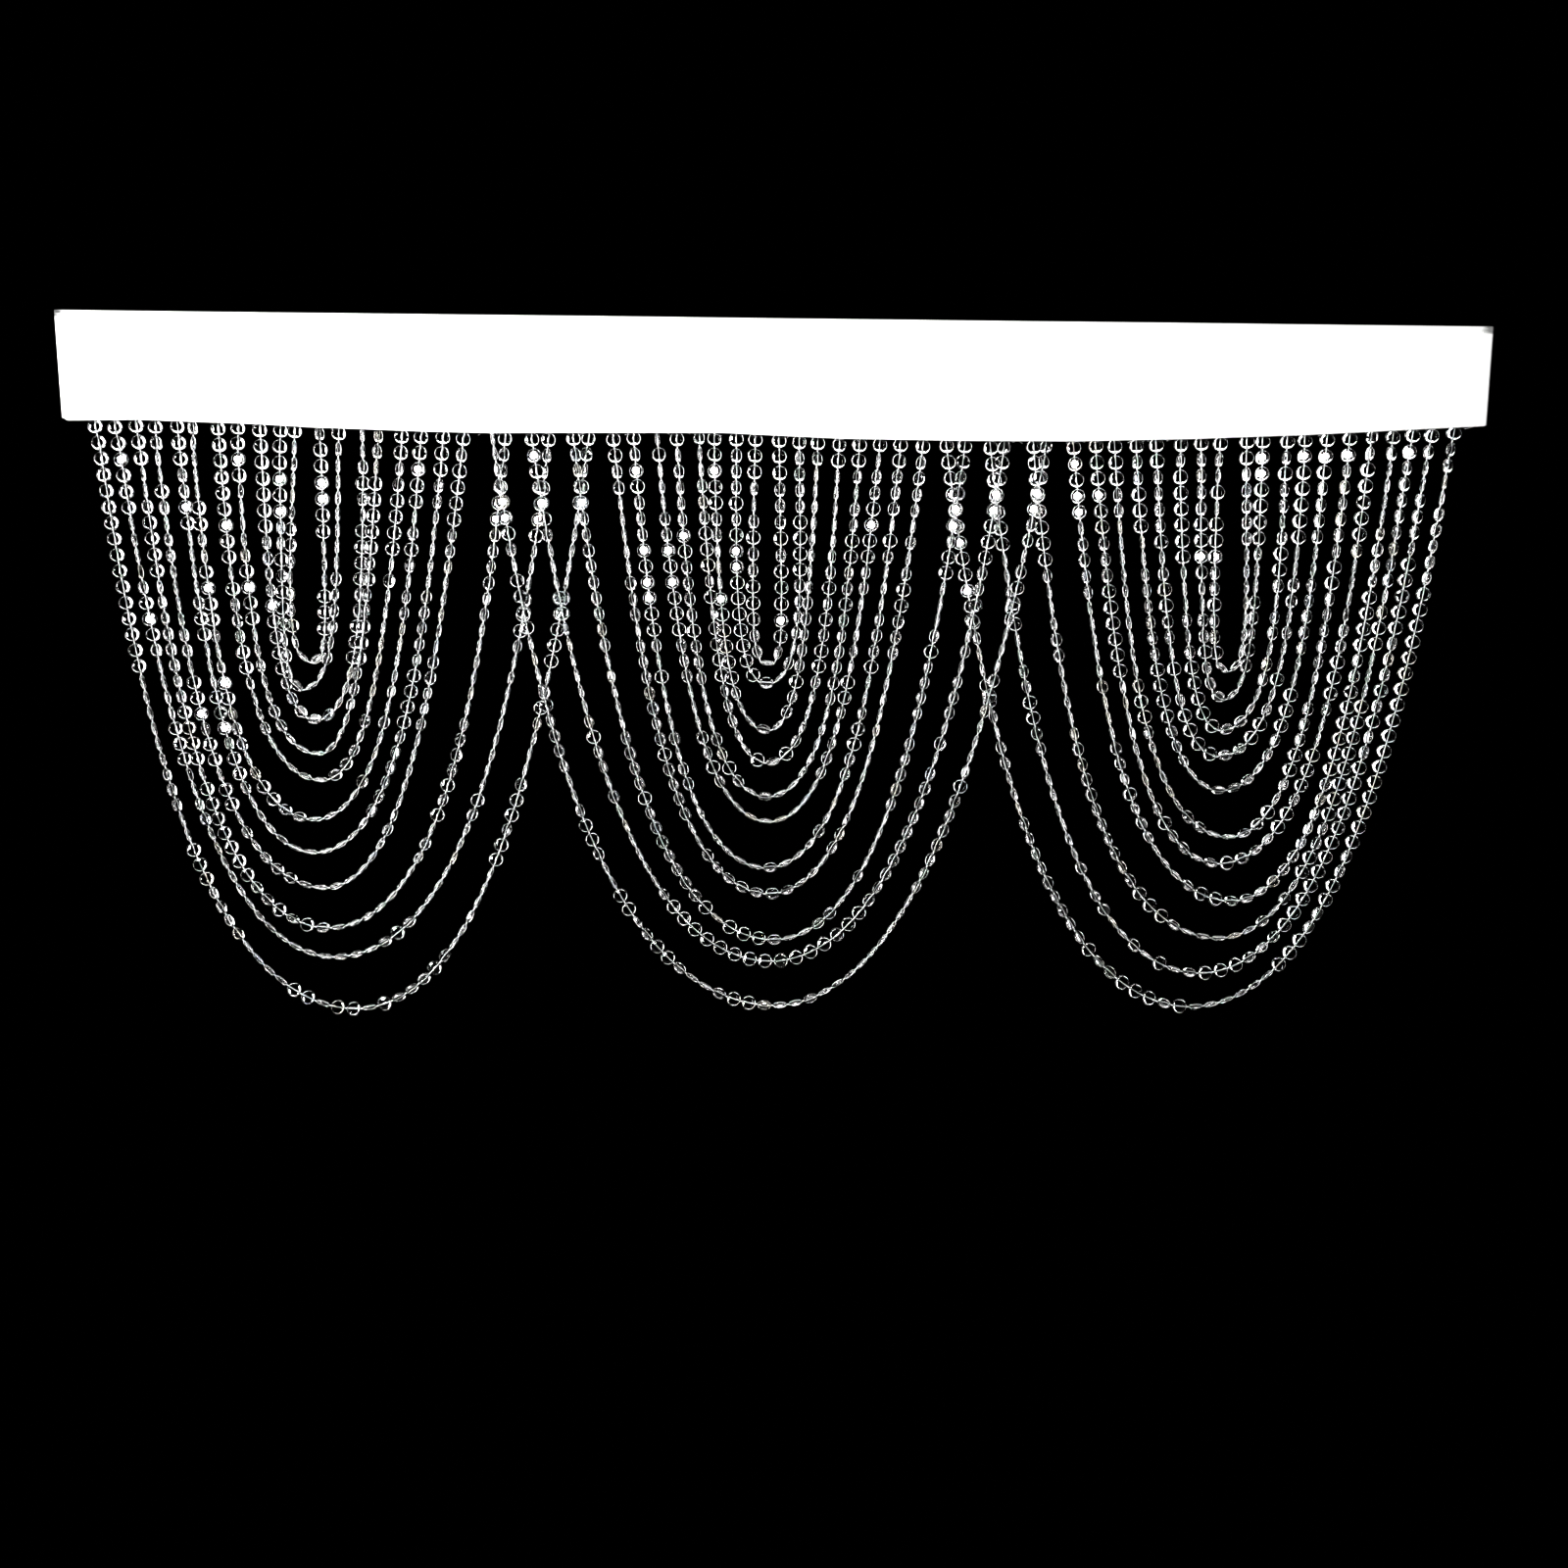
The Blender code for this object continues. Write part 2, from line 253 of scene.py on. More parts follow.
# How each bead of a string has turned about its line, a mark for each bead from the string's left
# end: O faces the viewer, W is turned so that its face shines, n and u are half turned, n towards
# the inside of the loop and u away from it, and - has its edge to the viewer
LEFT_SWAG_BEADS = (
    "OOOOOOOOOOOOOOOO------nnn--OWOnnnn----OO-OO-OuuuOn------OOnOOn---nOn-OOOO------W--OO",
    "OOWOOO----nOWOn----OWO--nn---------------uOu-------uO---------uOO----OWWO-nO",
    "OOO--nOOOO-nnnnnnnOWOO-OWWWOOWnnOnOn-------uu-OuOnnnn------uuuuuuWW-nOO",
    "On--On-nn----nn-OOWuOO-WO-n-nnn-------u------uuuuu-----uuuOOOOuO",
    "OOOnnWO----nOO---OWWnOOn----------nnnnnuOOOOuuuuu-----nnOOO",
    "n----OOn-OWOOu-nWOunn-nOOnn----n---u-u----uu-nOu-OOWOO",
    "OOOOOOWOO-OnnnOOn--n-----uuu-n--------n-OOOOnnOO",
    "OOWO----nOWOO--n--nn------uuuOOOnuOuOOOOO-uu",
    "OOOOOOOnnnnWOOOOnnnnn---OOOuuOOOO-nOu--",
    "OOOWOWnnOOOOO-n-u--unuuuu--------O",
    "O-----uuu-uuO--u-OOO---OOWWOOu",
)
MIDDLE_SWAG_BEADS = (
    "----WWOu-OOOO----Ouuuu--nWOn--WO-nWWn--nOOu--u---------uunnuunOn---uOn---nOOu-uuWWOOW",
    "OWOOWOu---nO------uOuu-u------nOOOOOOOOOOOOOOOnnnnnnnnnn-n-uuu-uuOOuuOOOWWOOO",
    "OnnnWnnnnnnnnn-n---uuuuOuuuuuuuO-OOOn--uu--n----uuuuu-uuuuOn---OOuWWnnOO",
    "OOnn-----uuu-uuuuuuuOuuuu--nnnnnnn---nn-----------nnnOOu-n-nnnnO",
    "OnWOnnnWOWWOOn-O---u-nn-------n---n---nnOOu--Onuu---nO-nnnOO",
    "-O---nnWOWOOOuuu---nnOu--------unn-uOO-n---uuOOWOnn-O",
    "O-nnnnWOnnnnOnnn---nnOn-u-------uuuuuuOnnOOnn-nOO",
    "n--nnnOOOuuuuuOOuuu--OnOu---nOOuOuOuu-----OO",
    "OOWOOnu---WOOOOOn--n-nnOuuuuuu-------uO",
    "OnnnOnOWWOOOOOWWn-u-uuuuOOOOnnnuO",
    "OOOn-nOnnOOOuu-uOWOOOnOnnnOOO",
)
RIGHT_SWAG_BEADS = (
    "OOOWWWWOOWOOn--uOu-uu---nnnnnnnnnOnnOOOnO------OOOuuOOnuOOOOOOOOOOOOOOOOOnnnnn--uuO",
    "OOOWWOO--nOO--nuOOun-------u-uu--n-W-nOWOnnnOOOOOOOOOOOOnnOnOnnnOOOOO-uuu--uO",
    "OWOWWOOOn---nn----nnnnnnnnnnnWOOn-----n-u-OOnnOOOOOOOO---OOu-uuuuuuuuWO",
    "OWOWW-nnnn-----u---uuuOuuu---nWOnnnnnnnnnnnOOOOOOnuOOOOnnnn----uO",
    "OOOWOOnnnOOOOOO--------nOnn-nOnnnOOnOOO--uOOOnn----uOOOOOnn",
    "OOOuu----------nWOn-----nn--nnO-nOOuuu--uuuuuOOuuuuuuWO",
    "OnnOOO--nnnnnnOOOOuuu--uun-nuOOO--uuuuu--uuuuOWO",
    "OOnnnnO-uOOnn-O-uOOOOnnOOn-O--n-nn--OOOOOWO",
    "OnOOOOOO---n-nOOOOWun--uu-uu-uOOn-uuOuO",
    "OnnnuOOWn--nuOuuu--OOuOO--nOOOOWWO",
    "On-O-OOWnnOnnO---------nnnnnOO",
)
SWAGS = {
    "left": (LEFT_SWAG_MM, SIDE_SWAG_LIFT_MM, LEFT_SWAG_BEADS),
    "middle": (MIDDLE_SWAG_MM, MIDDLE_SWAG_LIFT_MM, MIDDLE_SWAG_BEADS),
    "right": (RIGHT_SWAG_MM, SIDE_SWAG_LIFT_MM, RIGHT_SWAG_BEADS),
}
TURNS = {
    "O": 0.0,
    "W": 0.0,
    "n": math.radians(53.0),
    "u": math.radians(-53.0),
    "-": math.radians(90.0),
}
TURN_WANDER = {
    "O": math.radians(9.0),
    "W": math.radians(1.5),
    "n": math.radians(7.0),
    "u": math.radians(7.0),
    "-": math.radians(7.0),
}
TURN_SEED = 41
THREAD_SEED = 7
CLEAR_MARGIN = 0.25 * MM
CLEAR_PASSES = 30
CLEAR_NEAR = 2.0 * BEAD_RADIUS + 1.5 * MM
TURN_STEP = math.radians(11.0)


def smooth_step(value):
    """Rises smoothly from 0 to 1 while the value does."""
    value = np.clip(value, 0.0, 1.0)
    return value * value * (3.0 - 2.0 * value)


def lower_edge(x):
    """Height of the band's lower edge at x."""
    xs = [row[0] * MM for row in LOWER_EDGE_MM]
    zs = [row[1] * MM for row in LOWER_EDGE_MM]
    return np.interp(x, xs, zs)


def waves(rows, x):
    """The sum of some waves that run along the band, at x."""
    turn = math.pi * np.asarray(x) / BAND_HALF_WIDTH
    return sum(wave.height * np.sin(wave.across * turn + wave.start) for wave in rows)


def sway(x, z):
    """How far the cloth stands behind its plane at a place."""
    depth_share = np.minimum(-np.asarray(z) / SWAY_FULL_DEPTH, 1.0)
    share = SWAY_SHARE_AT_TOP + (1.0 - SWAY_SHARE_AT_TOP) * depth_share
    return share * waves(SWAY, x)


def cloth_depth(x, z):
    """Sway and puckers together, which the band, the tape and their stitches share."""
    above = (np.asarray(z) - lower_edge(x) - PUCKER_ABOVE_EDGE) / PUCKER_REACH
    return sway(x, z) + np.exp(-above * above) * waves(PUCKERS, x)


def set_up_camera():
    """The camera where the photo was taken from, level but for its small roll."""
    data = bpy.data.cameras.new("Camera")
    data.sensor_width = SENSOR_MM
    data.lens = SENSOR_MM * FOCAL_PX / PICTURE_PX
    camera = bpy.data.objects.new("Camera", data)
    bpy.context.scene.collection.objects.link(camera)
    looking = Matrix.Rotation(math.pi / 2.0 - CAMERA_DOWN, 4, "X")
    rolled = Matrix.Rotation(CAMERA_ROLL, 4, "Z")
    camera.matrix_world = Matrix.Translation(CAMERA_PLACE) @ looking @ rolled
    bpy.context.scene.camera = camera


def add_piece(name, mesh, material, smooth):
    """Puts a mesh into the scene as a visible piece."""
    mesh.validate()
    if smooth:
        mesh.shade_smooth()
    else:
        mesh.shade_flat()
    mesh.materials.append(material)
    piece = bpy.data.objects.new(name, mesh)
    bpy.context.scene.collection.objects.link(piece)
    return piece


def new_piece(name, vertices, faces, material, smooth=False):
    """A visible piece of the valance from its points and faces."""
    mesh = bpy.data.meshes.new(name)
    mesh.from_pydata([tuple(point) for point in vertices], [], faces)
    return add_piece(name, mesh, material, smooth)


def triangle_piece(name, vertices, triangles, material, smooth=False):
    """A visible piece of very many small triangles."""
    mesh = bpy.data.meshes.new(name)
    mesh.vertices.add(len(vertices))
    mesh.vertices.foreach_set("co", np.asarray(vertices, dtype=np.float32).ravel())
    mesh.loops.add(len(triangles) * 3)
    mesh.loops.foreach_set("vertex_index", np.asarray(triangles, dtype=np.int32).ravel())
    mesh.polygons.add(len(triangles))
    mesh.polygons.foreach_set("loop_start", np.arange(0, len(triangles) * 3, 3, dtype=np.int32))
    mesh.update(calc_edges=True)
    return add_piece(name, mesh, material, smooth)


def grid_faces(columns, rows, around=False):
    """Quads between points that run in columns of the same number of rows."""
    faces = []
    for column in range(columns - 1):
        for row in range(rows if around else rows - 1):
            first = column * rows + row
            second = column * rows + (row + 1) % rows
            faces.append((first, first + rows, second + rows, second))
    return faces


class Nodes:
    """Short calls for building one material's or one group's nodes."""

    def __init__(self, tree):
        self.tree = tree

    def add(self, kind, **settings):
        node = self.tree.nodes.new(kind)
        inputs = settings.pop("inputs", {})
        for key, value in settings.items():
            setattr(node, key, value)
        for key, value in inputs.items():
            self.feed(node.inputs[key], value)
        return node

    def feed(self, socket, value):
        if isinstance(value, bpy.types.NodeSocket):
            self.tree.links.new(value, socket)
        else:
            socket.default_value = value

    def math(self, operation, first, second=0.0, third=0.0):
        node = self.tree.nodes.new("ShaderNodeMath")
        node.operation = operation
        for socket, value in zip(node.inputs, (first, second, third)):
            self.feed(socket, value)
        return node.outputs[0]

    def mix_color(self, factor, first, second):
        node = self.tree.nodes.new("ShaderNodeMix")
        node.data_type = "RGBA"
        self.feed(node.inputs["Factor"], factor)
        self.feed(node.inputs["A"], first)
        self.feed(node.inputs["B"], second)
        return node.outputs["Result"]

    def noise(self, vector, scale, detail=2.0, roughness=0.5):
        node = self.add("ShaderNodeTexNoise")
        self.feed(node.inputs["Vector"], vector)
        self.feed(node.inputs["Scale"], scale)
        self.feed(node.inputs["Detail"], detail)
        self.feed(node.inputs["Roughness"], roughness)
        return node.outputs["Fac"]


def new_group(name, inputs, outputs):
    """An empty shader node group with named sockets, as (tree, nodes, inputs, outputs)."""
    tree = bpy.data.node_groups.new(name, "ShaderNodeTree")
    for label, kind, value in inputs:
        socket = tree.interface.new_socket(label, in_out="INPUT", socket_type=kind)
        if value is not None:
            socket.default_value = value
    for label, kind in outputs:
        tree.interface.new_socket(label, in_out="OUTPUT", socket_type=kind)
    nodes = Nodes(tree)
    entry = nodes.add("NodeGroupInput").outputs
    leave = nodes.add("NodeGroupOutput").inputs
    return tree, nodes, entry, leave


def weave_group():
    """Over and under of woven threads on the X and Z of a cloth, with uneven threads; its Shade is the
    threads' own uneven tone plus painted shade, darker in the hollows between threads and lighter on their
    tops.
    """
    tree, nodes, entry, leave = new_group(
        "Woven threads",
        (
            ("Place", "NodeSocketVector", None),
            ("Threads", "NodeSocketFloat", 2000.0),
            ("Unevenness", "NodeSocketFloat", 0.4),
        ),
        (("Height", "NodeSocketFloat"), ("Shade", "NodeSocketFloat")),
    )
    split = nodes.add("ShaderNodeSeparateXYZ", inputs={"Vector": entry["Place"]}).outputs
    wobble = nodes.noise(entry["Place"], 160.0, detail=3.0)
    shift = nodes.math("MULTIPLY", nodes.math("SUBTRACT", wobble, 0.5), entry["Unevenness"])
    across = nodes.math("MULTIPLY_ADD", split["X"], entry["Threads"], shift)
    down = nodes.math("MULTIPLY_ADD", split["Z"], entry["Threads"], shift)
    warp = nodes.math("ABSOLUTE", nodes.math("SINE", nodes.math("MULTIPLY", across, math.pi)))
    weft = nodes.math("ABSOLUTE", nodes.math("SINE", nodes.math("MULTIPLY", down, math.pi)))
    cell = nodes.math("ADD", nodes.math("FLOOR", across), nodes.math("FLOOR", down))
    over = nodes.math("PINGPONG", cell, 1.0)
    warp_top = nodes.math("MULTIPLY", warp, over)
    weft_top = nodes.math("MULTIPLY", weft, nodes.math("SUBTRACT", 1.0, over))
    height = nodes.math("ADD", warp_top, weft_top)
    nodes.feed(leave["Height"], height)
    slub = nodes.noise(entry["Place"], 420.0, detail=2.0)
    # The threads' height lightens their tops and darkens the hollows between them, which is painted shade;
    # the slub noise is the threads' own uneven tone
    shade = nodes.math("MULTIPLY_ADD", height, 0.35, nodes.math("MULTIPLY", slub, 0.65))
    nodes.feed(leave["Shade"], shade)
    return tree


def cloth_color_group():
    """A cloth's colour between its dark and its light, from its threads and broad soft patches."""
    tree, nodes, entry, leave = new_group(
        "Cloth colour",
        (
            ("Place", "NodeSocketVector", None),
            ("Shade", "NodeSocketFloat", 0.5),
            ("Patches", "NodeSocketFloat", 10.0),
            ("Dark", "NodeSocketColor", None),
            ("Light", "NodeSocketColor", None),
        ),
        (("Color", "NodeSocketColor"),),
    )
    patches = nodes.noise(entry["Place"], entry["Patches"], detail=3.0)
    # For the band and the tape, Shade brings the weave's painted shade in the hollows between threads
    # together with the threads' own tone
    threads = nodes.math("MULTIPLY", entry["Shade"], 0.6)
    shade = nodes.math("MULTIPLY_ADD", patches, 0.4, threads)
    nodes.feed(leave["Color"], nodes.mix_color(shade, entry["Dark"], entry["Light"]))
    return tree


def handling_group():
    """Faint wipe marks and dust, which make a polished surface unevenly bright."""
    tree, nodes, entry, leave = new_group(
        "Handling marks",
        (
            ("Place", "NodeSocketVector", None),
            ("Lowest", "NodeSocketFloat", 0.01),
            ("Highest", "NodeSocketFloat", 0.06),
        ),
        (("Roughness", "NodeSocketFloat"), ("Marks", "NodeSocketFloat")),
    )
    marks = nodes.noise(entry["Place"], 900.0, detail=4.0, roughness=0.6)
    patches = nodes.noise(entry["Place"], 130.0, detail=2.0)
    amount = nodes.math("MULTIPLY", marks, patches)
    spread = nodes.math("SUBTRACT", entry["Highest"], entry["Lowest"])
    nodes.feed(leave["Roughness"], nodes.math("MULTIPLY_ADD", amount, spread, entry["Lowest"]))
    nodes.feed(leave["Marks"], marks)
    return tree


def new_material(name):
    """A material with its node helper, its shader and the place on the piece."""
    material = bpy.data.materials.new(name)
    material.use_nodes = True
    tree = material.node_tree
    nodes = Nodes(tree)
    shader = tree.nodes["Principled BSDF"]
    place = nodes.add("ShaderNodeTexCoord").outputs["Object"]
    return material, nodes, shader, place


def use_group(nodes, tree, **inputs):
    """The outputs of a shared effect, with its named inputs set or linked."""
    node = nodes.add("ShaderNodeGroup", node_tree=tree)
    for label, value in inputs.items():
        nodes.feed(node.inputs[label], value)
    return node.outputs


def bump(nodes, shader, height, strength, distance):
    """Raises the surface by a height that varies over it."""
    node = nodes.add("ShaderNodeBump")
    node.inputs["Strength"].default_value = strength
    node.inputs["Distance"].default_value = distance
    nodes.feed(node.inputs["Height"], height)
    nodes.feed(shader.inputs["Normal"], node.outputs["Normal"])


def paint_crease_shade(nodes, place):
    """Painted shade for the creases at both ends of the top fold, in wisps that run along the fold: a mask
    that darkens the cloth's colour there, strongest at the left end.
    """
    split = nodes.add("ShaderNodeSeparateXYZ", inputs={"Vector": place}).outputs
    from_middle = nodes.math("ABSOLUTE", split["X"])
    inwards = nodes.math("SUBTRACT", BAND_HALF_WIDTH, from_middle)
    side_share = nodes.math("SUBTRACT", 1.0, nodes.math("DIVIDE", inwards, CREASE_WIDTH))
    near_side = nodes.math("MULTIPLY", nodes.math("MAXIMUM", side_share, 0.0), CREASE_SOLID)
    top_share = nodes.math("MULTIPLY_ADD", split["Z"], 1.0 / CREASE_HEIGHT, 1.0)
    near_top = nodes.math("MINIMUM", nodes.math("MULTIPLY", top_share, CREASE_EDGE), 1.0)
    along_fold = nodes.add("ShaderNodeVectorMath", operation="MULTIPLY", inputs={
        0: place, 1: CREASE_WISPS,
    }).outputs["Vector"]
    wisps = nodes.noise(along_fold, 1.0, detail=3.0)
    wisps = nodes.math(
        "MULTIPLY_ADD", nodes.math("SUBTRACT", wisps, 0.5), CREASE_CONTRAST, CREASE_FADE,
    )
    shade = nodes.math("ADD", wisps, near_side)
    shade = nodes.math("MULTIPLY", shade, nodes.math("MAXIMUM", near_top, 0.0))
    shade = nodes.math("MULTIPLY", shade, nodes.math("MINIMUM", near_side, 1.0))
    # The painted shade may be darker at the left end than at the right
    strongest = nodes.math("MULTIPLY_ADD", split["X"], CREASE_TO_RIGHT, CREASE_STRONGEST)
    return nodes.math("MAXIMUM", nodes.math("MINIMUM", shade, strongest), 0.0)


def band_cloth_material(weave, cloth_color):
    material, nodes, shader, place = new_material("White band cloth")
    threads = use_group(nodes, weave, Place=place, Threads=2100.0, Unevenness=0.45)
    color = use_group(
        nodes, cloth_color, Place=place, Shade=threads["Shade"], Patches=9.0,
        Dark=(0.76, 0.76, 0.75, 1.0), Light=(0.93, 0.93, 0.92, 1.0),
    )["Color"]
    # Painted shade: near black mixed into the cloth's colour at both ends of the top fold, where the
    # crease's shade falls
    painted_crease_shade = paint_crease_shade(nodes, place)
    nodes.feed(shader.inputs["Base Color"], nodes.mix_color(painted_crease_shade, color, (0.06, 0.06, 0.06, 1.0)))
    shader.inputs["Roughness"].default_value = 0.82
    shader.inputs["Sheen Weight"].default_value = 0.25
    shader.inputs["Sheen Roughness"].default_value = 0.4
    bump(nodes, shader, threads["Height"], 0.55, 0.12 * MM)
    return material


def tape_material(weave, cloth_color):
    material, nodes, shader, place = new_material("Woven tape")
    threads = use_group(nodes, weave, Place=place, Threads=1150.0, Unevenness=0.25)
    color = use_group(
        nodes, cloth_color, Place=place, Shade=threads["Shade"], Patches=60.0,
        Dark=(0.62, 0.61, 0.57, 1.0), Light=(0.88, 0.88, 0.85, 1.0),
    )["Color"]
    nodes.feed(shader.inputs["Base Color"], color)
    shader.inputs["Roughness"].default_value = 0.88
    bump(nodes, shader, threads["Height"], 0.7, 0.2 * MM)
    return material


def stitch_material(cloth_color):
    material, nodes, shader, place = new_material("White sewing thread")
    fibres = nodes.noise(place, 2600.0, detail=3.0)
    color = use_group(
        nodes, cloth_color, Place=place, Shade=fibres, Patches=40.0,
        Dark=(0.74, 0.74, 0.73, 1.0), Light=(0.95, 0.95, 0.94, 1.0),
    )["Color"]
    nodes.feed(shader.inputs["Base Color"], color)
    shader.inputs["Roughness"].default_value = 0.6
    shader.inputs["Sheen Weight"].default_value = 0.3
    bump(nodes, shader, fibres, 0.4, 0.05 * MM)
    return material


def bead_material(marks):
    material, nodes, shader, place = new_material("Clear faceted acrylic")
    wear = use_group(nodes, marks, Place=place, Lowest=0.0, Highest=0.08)
    tint = nodes.add("ShaderNodeAttribute", attribute_name="bead_tint").outputs["Color"]
    nodes.feed(shader.inputs["Base Color"], tint)
    nodes.feed(shader.inputs["Roughness"], wear["Roughness"])
    shader.inputs["Transmission Weight"].default_value = 1.0
    shader.inputs["IOR"].default_value = 1.49
    return material


def line_material(marks):
    material, nodes, shader, place = new_material("Clear nylon line")
    wear = use_group(nodes, marks, Place=place, Lowest=0.15, Highest=0.5)
    color = nodes.mix_color(wear["Marks"], (0.86, 0.88, 0.88, 1.0), (0.97, 0.98, 0.98, 1.0))
    nodes.feed(shader.inputs["Base Color"], color)
    nodes.feed(shader.inputs["Roughness"], wear["Roughness"])
    shader.inputs["Transmission Weight"].default_value = 0.25
    shader.inputs["IOR"].default_value = 1.53
    return material


def floor_material():
    material, nodes, shader, place = new_material("Pale floor")
    speckle = nodes.noise(place, 14.0, detail=5.0)
    color = nodes.mix_color(speckle, (0.50, 0.50, 0.49, 1.0), (0.58, 0.58, 0.57, 1.0))
    nodes.feed(shader.inputs["Base Color"], color)
    shader.inputs["Roughness"].default_value = 0.7
    return material


def band_columns():
    """Places across the band: even ones, with closer ones at both hems."""
    hem_end = SIDE_HEM * 1.6
    fine = np.linspace(0.0, hem_end, SIDE_HEM_COLUMNS + 1)[:-1]
    middle = np.linspace(hem_end, 2.0 * BAND_HALF_WIDTH - hem_end, MIDDLE_COLUMNS)
    ends = 2.0 * BAND_HALF_WIDTH - fine[::-1]
    return np.concatenate([fine, middle, ends]) - BAND_HALF_WIDTH


def band_foot(x):
    """The foot of the band, with its rounded corners."""
    drawn_in = LEFT_SIDE_DRAWN_IN if x < 0.0 else RIGHT_SIDE_DRAWN_IN
    corner_round = LEFT_CORNER_ROUND if x < 0.0 else RIGHT_CORNER_ROUND
    to_side = BAND_HALF_WIDTH - abs(x)
    at_foot = x * (1.0 - drawn_in / BAND_HALF_WIDTH)
    corner = 0.5 * corner_round * (1.0 - smooth_step(to_side / corner_round))
    return lower_edge(at_foot) + corner


def drawn_in_x(x, z, foot):
    """Where a place across the band lies, its sides drawn in towards the foot."""
    drawn_in = LEFT_SIDE_DRAWN_IN if x < 0.0 else RIGHT_SIDE_DRAWN_IN
    return x * (1.0 - min(z / foot, 1.0) * drawn_in / BAND_HALF_WIDTH)


def arc(centre_y, centre_z, radius, start, end, steps):
    """Points (y, z) of an arc, by its angles from +Y towards +Z, without its two ends."""
    angles = np.linspace(start, end, steps + 2)[1:-1]
    return [(centre_y + radius * math.cos(a), centre_z + radius * math.sin(a)) for a in angles]


def band_section(foot):
    """The folded cloth's middle line (y, z), from the front layer's turned-in edge to the back's."""
    turn_radius = (OUTER_LAYER - INNER_LAYER) / 2.0
    turn_middle = (OUTER_LAYER + INNER_LAYER) / 2.0
    turn_z = foot + turn_radius + CLOTH_THICKNESS / 2.0
    fold_z = -OUTER_LAYER - CLOTH_THICKNESS / 2.0
    inside = [(-INNER_LAYER, z) for z in np.linspace(foot + TURNED_IN, turn_z, 6)]
    front_turn = arc(-turn_middle, turn_z, turn_radius, 0.0, -math.pi, 3)
    front = [(-OUTER_LAYER, z) for z in np.linspace(turn_z, fold_z, 34)]
    half = inside + front_turn + front
    fold = arc(0.0, fold_z, OUTER_LAYER, math.pi, 0.0, 5)
    return half + fold + [(-y, z) for y, z in reversed(half)]


def row_pinch(x, z, foot):
    """How far a layer is drawn towards the band's middle by the rows of stitches."""
    pinch = 0.0
    for row in (foot + FOOT_ROW, foot + TAPE_ROW, -TOP_ROW):
        pinch += PINCH_DEPTH * math.exp(-((z - row) / PINCH_REACH) ** 2)
    return pinch


def build_band(material):
    columns = band_columns()
    points = []
    for x in columns:
        foot = band_foot(x)
        section = band_section(foot)
        step_in = (BAND_HALF_WIDTH - abs(x) - SIDE_HEM) / SIDE_HEM_RUN
        hem_step = SIDE_HEM_STEP * (1.0 - smooth_step(step_in))
        for y, z in section:
            side = math.copysign(1.0, y)
            place_x = drawn_in_x(x, z, foot)
            if abs(y) > OUTER_LAYER * 0.9:
                y += side * (hem_step - row_pinch(x, z, foot))
            points.append((place_x, y + cloth_depth(place_x, z), z))
    band = new_piece("band_cloth", points, grid_faces(len(columns), len(section)), material, smooth=True)
    solid = band.modifiers.new("Cloth", "SOLIDIFY")
    solid.thickness = CLOTH_THICKNESS
    solid.offset = 0.0
    return band


def build_tape(material):
    """The tape as a rounded strip that follows the band's back."""
    columns = np.linspace(TAPE_LEFT, TAPE_RIGHT, 261)
    corner = 0.35 * MM
    points = []
    for x in columns:
        low = lower_edge(x) + TAPE_ABOVE_EDGE
        high = low + TAPE_HEIGHT
        front = TAPE_FRONT
        back = TAPE_FRONT + TAPE_THICKNESS
        ring = [(front, z) for z in np.linspace(low + corner, high - corner, 7)]
        ring += [(front + corner * 0.3, high - corner * 0.3), (front + corner, high)]
        ring += [(back - corner, high), (back - corner * 0.3, high - corner * 0.3)]
        ring += [(back, z) for z in np.linspace(high - corner, low + corner, 7)]
        ring += [(back - corner * 0.3, low + corner * 0.3), (back - corner, low)]
        ring += [(front + corner, low), (front + corner * 0.3, low + corner * 0.3)]
        points += [(x, y + cloth_depth(x, z), z) for y, z in ring]
    faces = grid_faces(len(columns), len(ring), around=True)
    faces.append(tuple(range(len(ring))))
    last = (len(columns) - 1) * len(ring)
    faces.append(tuple(last + index for index in reversed(range(len(ring)))))
    return new_piece("stringing_tape", points, faces, material, smooth=True)


def stitch_shape(arch, sides=5, steps=4):
    """One stitch along +X from 0 to 1, arched towards +Y, as points in unit length and real height."""
    rings = []
    for step in range(steps + 1):
        share = step / steps
        height = arch * math.sin(math.pi * share) - STITCH_RADIUS * 0.6 * abs(2.0 * share - 1.0)
        width = 0.55 if step in (0, steps) else 1.0
        for side in range(sides):
            angle = 2.0 * math.pi * side / sides
            rings.append((
                share,
                height + width * STITCH_RADIUS * math.cos(angle),
                width * STITCH_RADIUS * math.sin(angle),
            ))
    triangles = []
    for step in range(steps):
        for side in range(sides):
            a = step * sides + side
            b = step * sides + (side + 1) % sides
            triangles += [(a, b, b + sides), (a, b + sides, a + sides)]
    for side in range(1, sides - 1):
        triangles.append((0, side + 1, side))
        last = steps * sides
        triangles.append((last, last + side, last + side + 1))
    return np.array(rings), np.array(triangles)


def place_stitches(name, ends, outward, arch, material):
    """Stitches between pairs of places, each arched outward from the cloth."""
    shape, triangles = stitch_shape(arch)
    ends = np.asarray(ends)
    outward = np.asarray(outward)
    points = []
    for (start, end), out in zip(ends, outward):
        along = end - start
        across = np.cross(along / np.linalg.norm(along), out)
        points.append(start + shape[:, :1] * along + shape[:, 1:2] * out + shape[:, 2:3] * across)
    count = len(points)
    shifts = np.arange(count)[:, None, None] * len(shape)
    faces = (triangles[None] + shifts).reshape(-1, 3)
    return triangle_piece(name, np.concatenate(points), faces, material, smooth=True)


def over_foot(height):
    return lambda x: lower_edge(x) + height


def under_top(height):
    return lambda x: -height


def level_row(height_at, depth, outward, left, right):
    """Stitches of one row that runs across the valance, following the foot or the top."""
    ends = []
    for start in np.arange(left, right - STITCH_LENGTH, STITCH_PITCH):
        pair = []
        for x in (start, start + STITCH_LENGTH):
            z = height_at(x)
            pair.append((x, depth + float(cloth_depth(x, z)), z))
        ends.append(pair)
    return ends, [(0.0, outward, 0.0)] * len(ends)


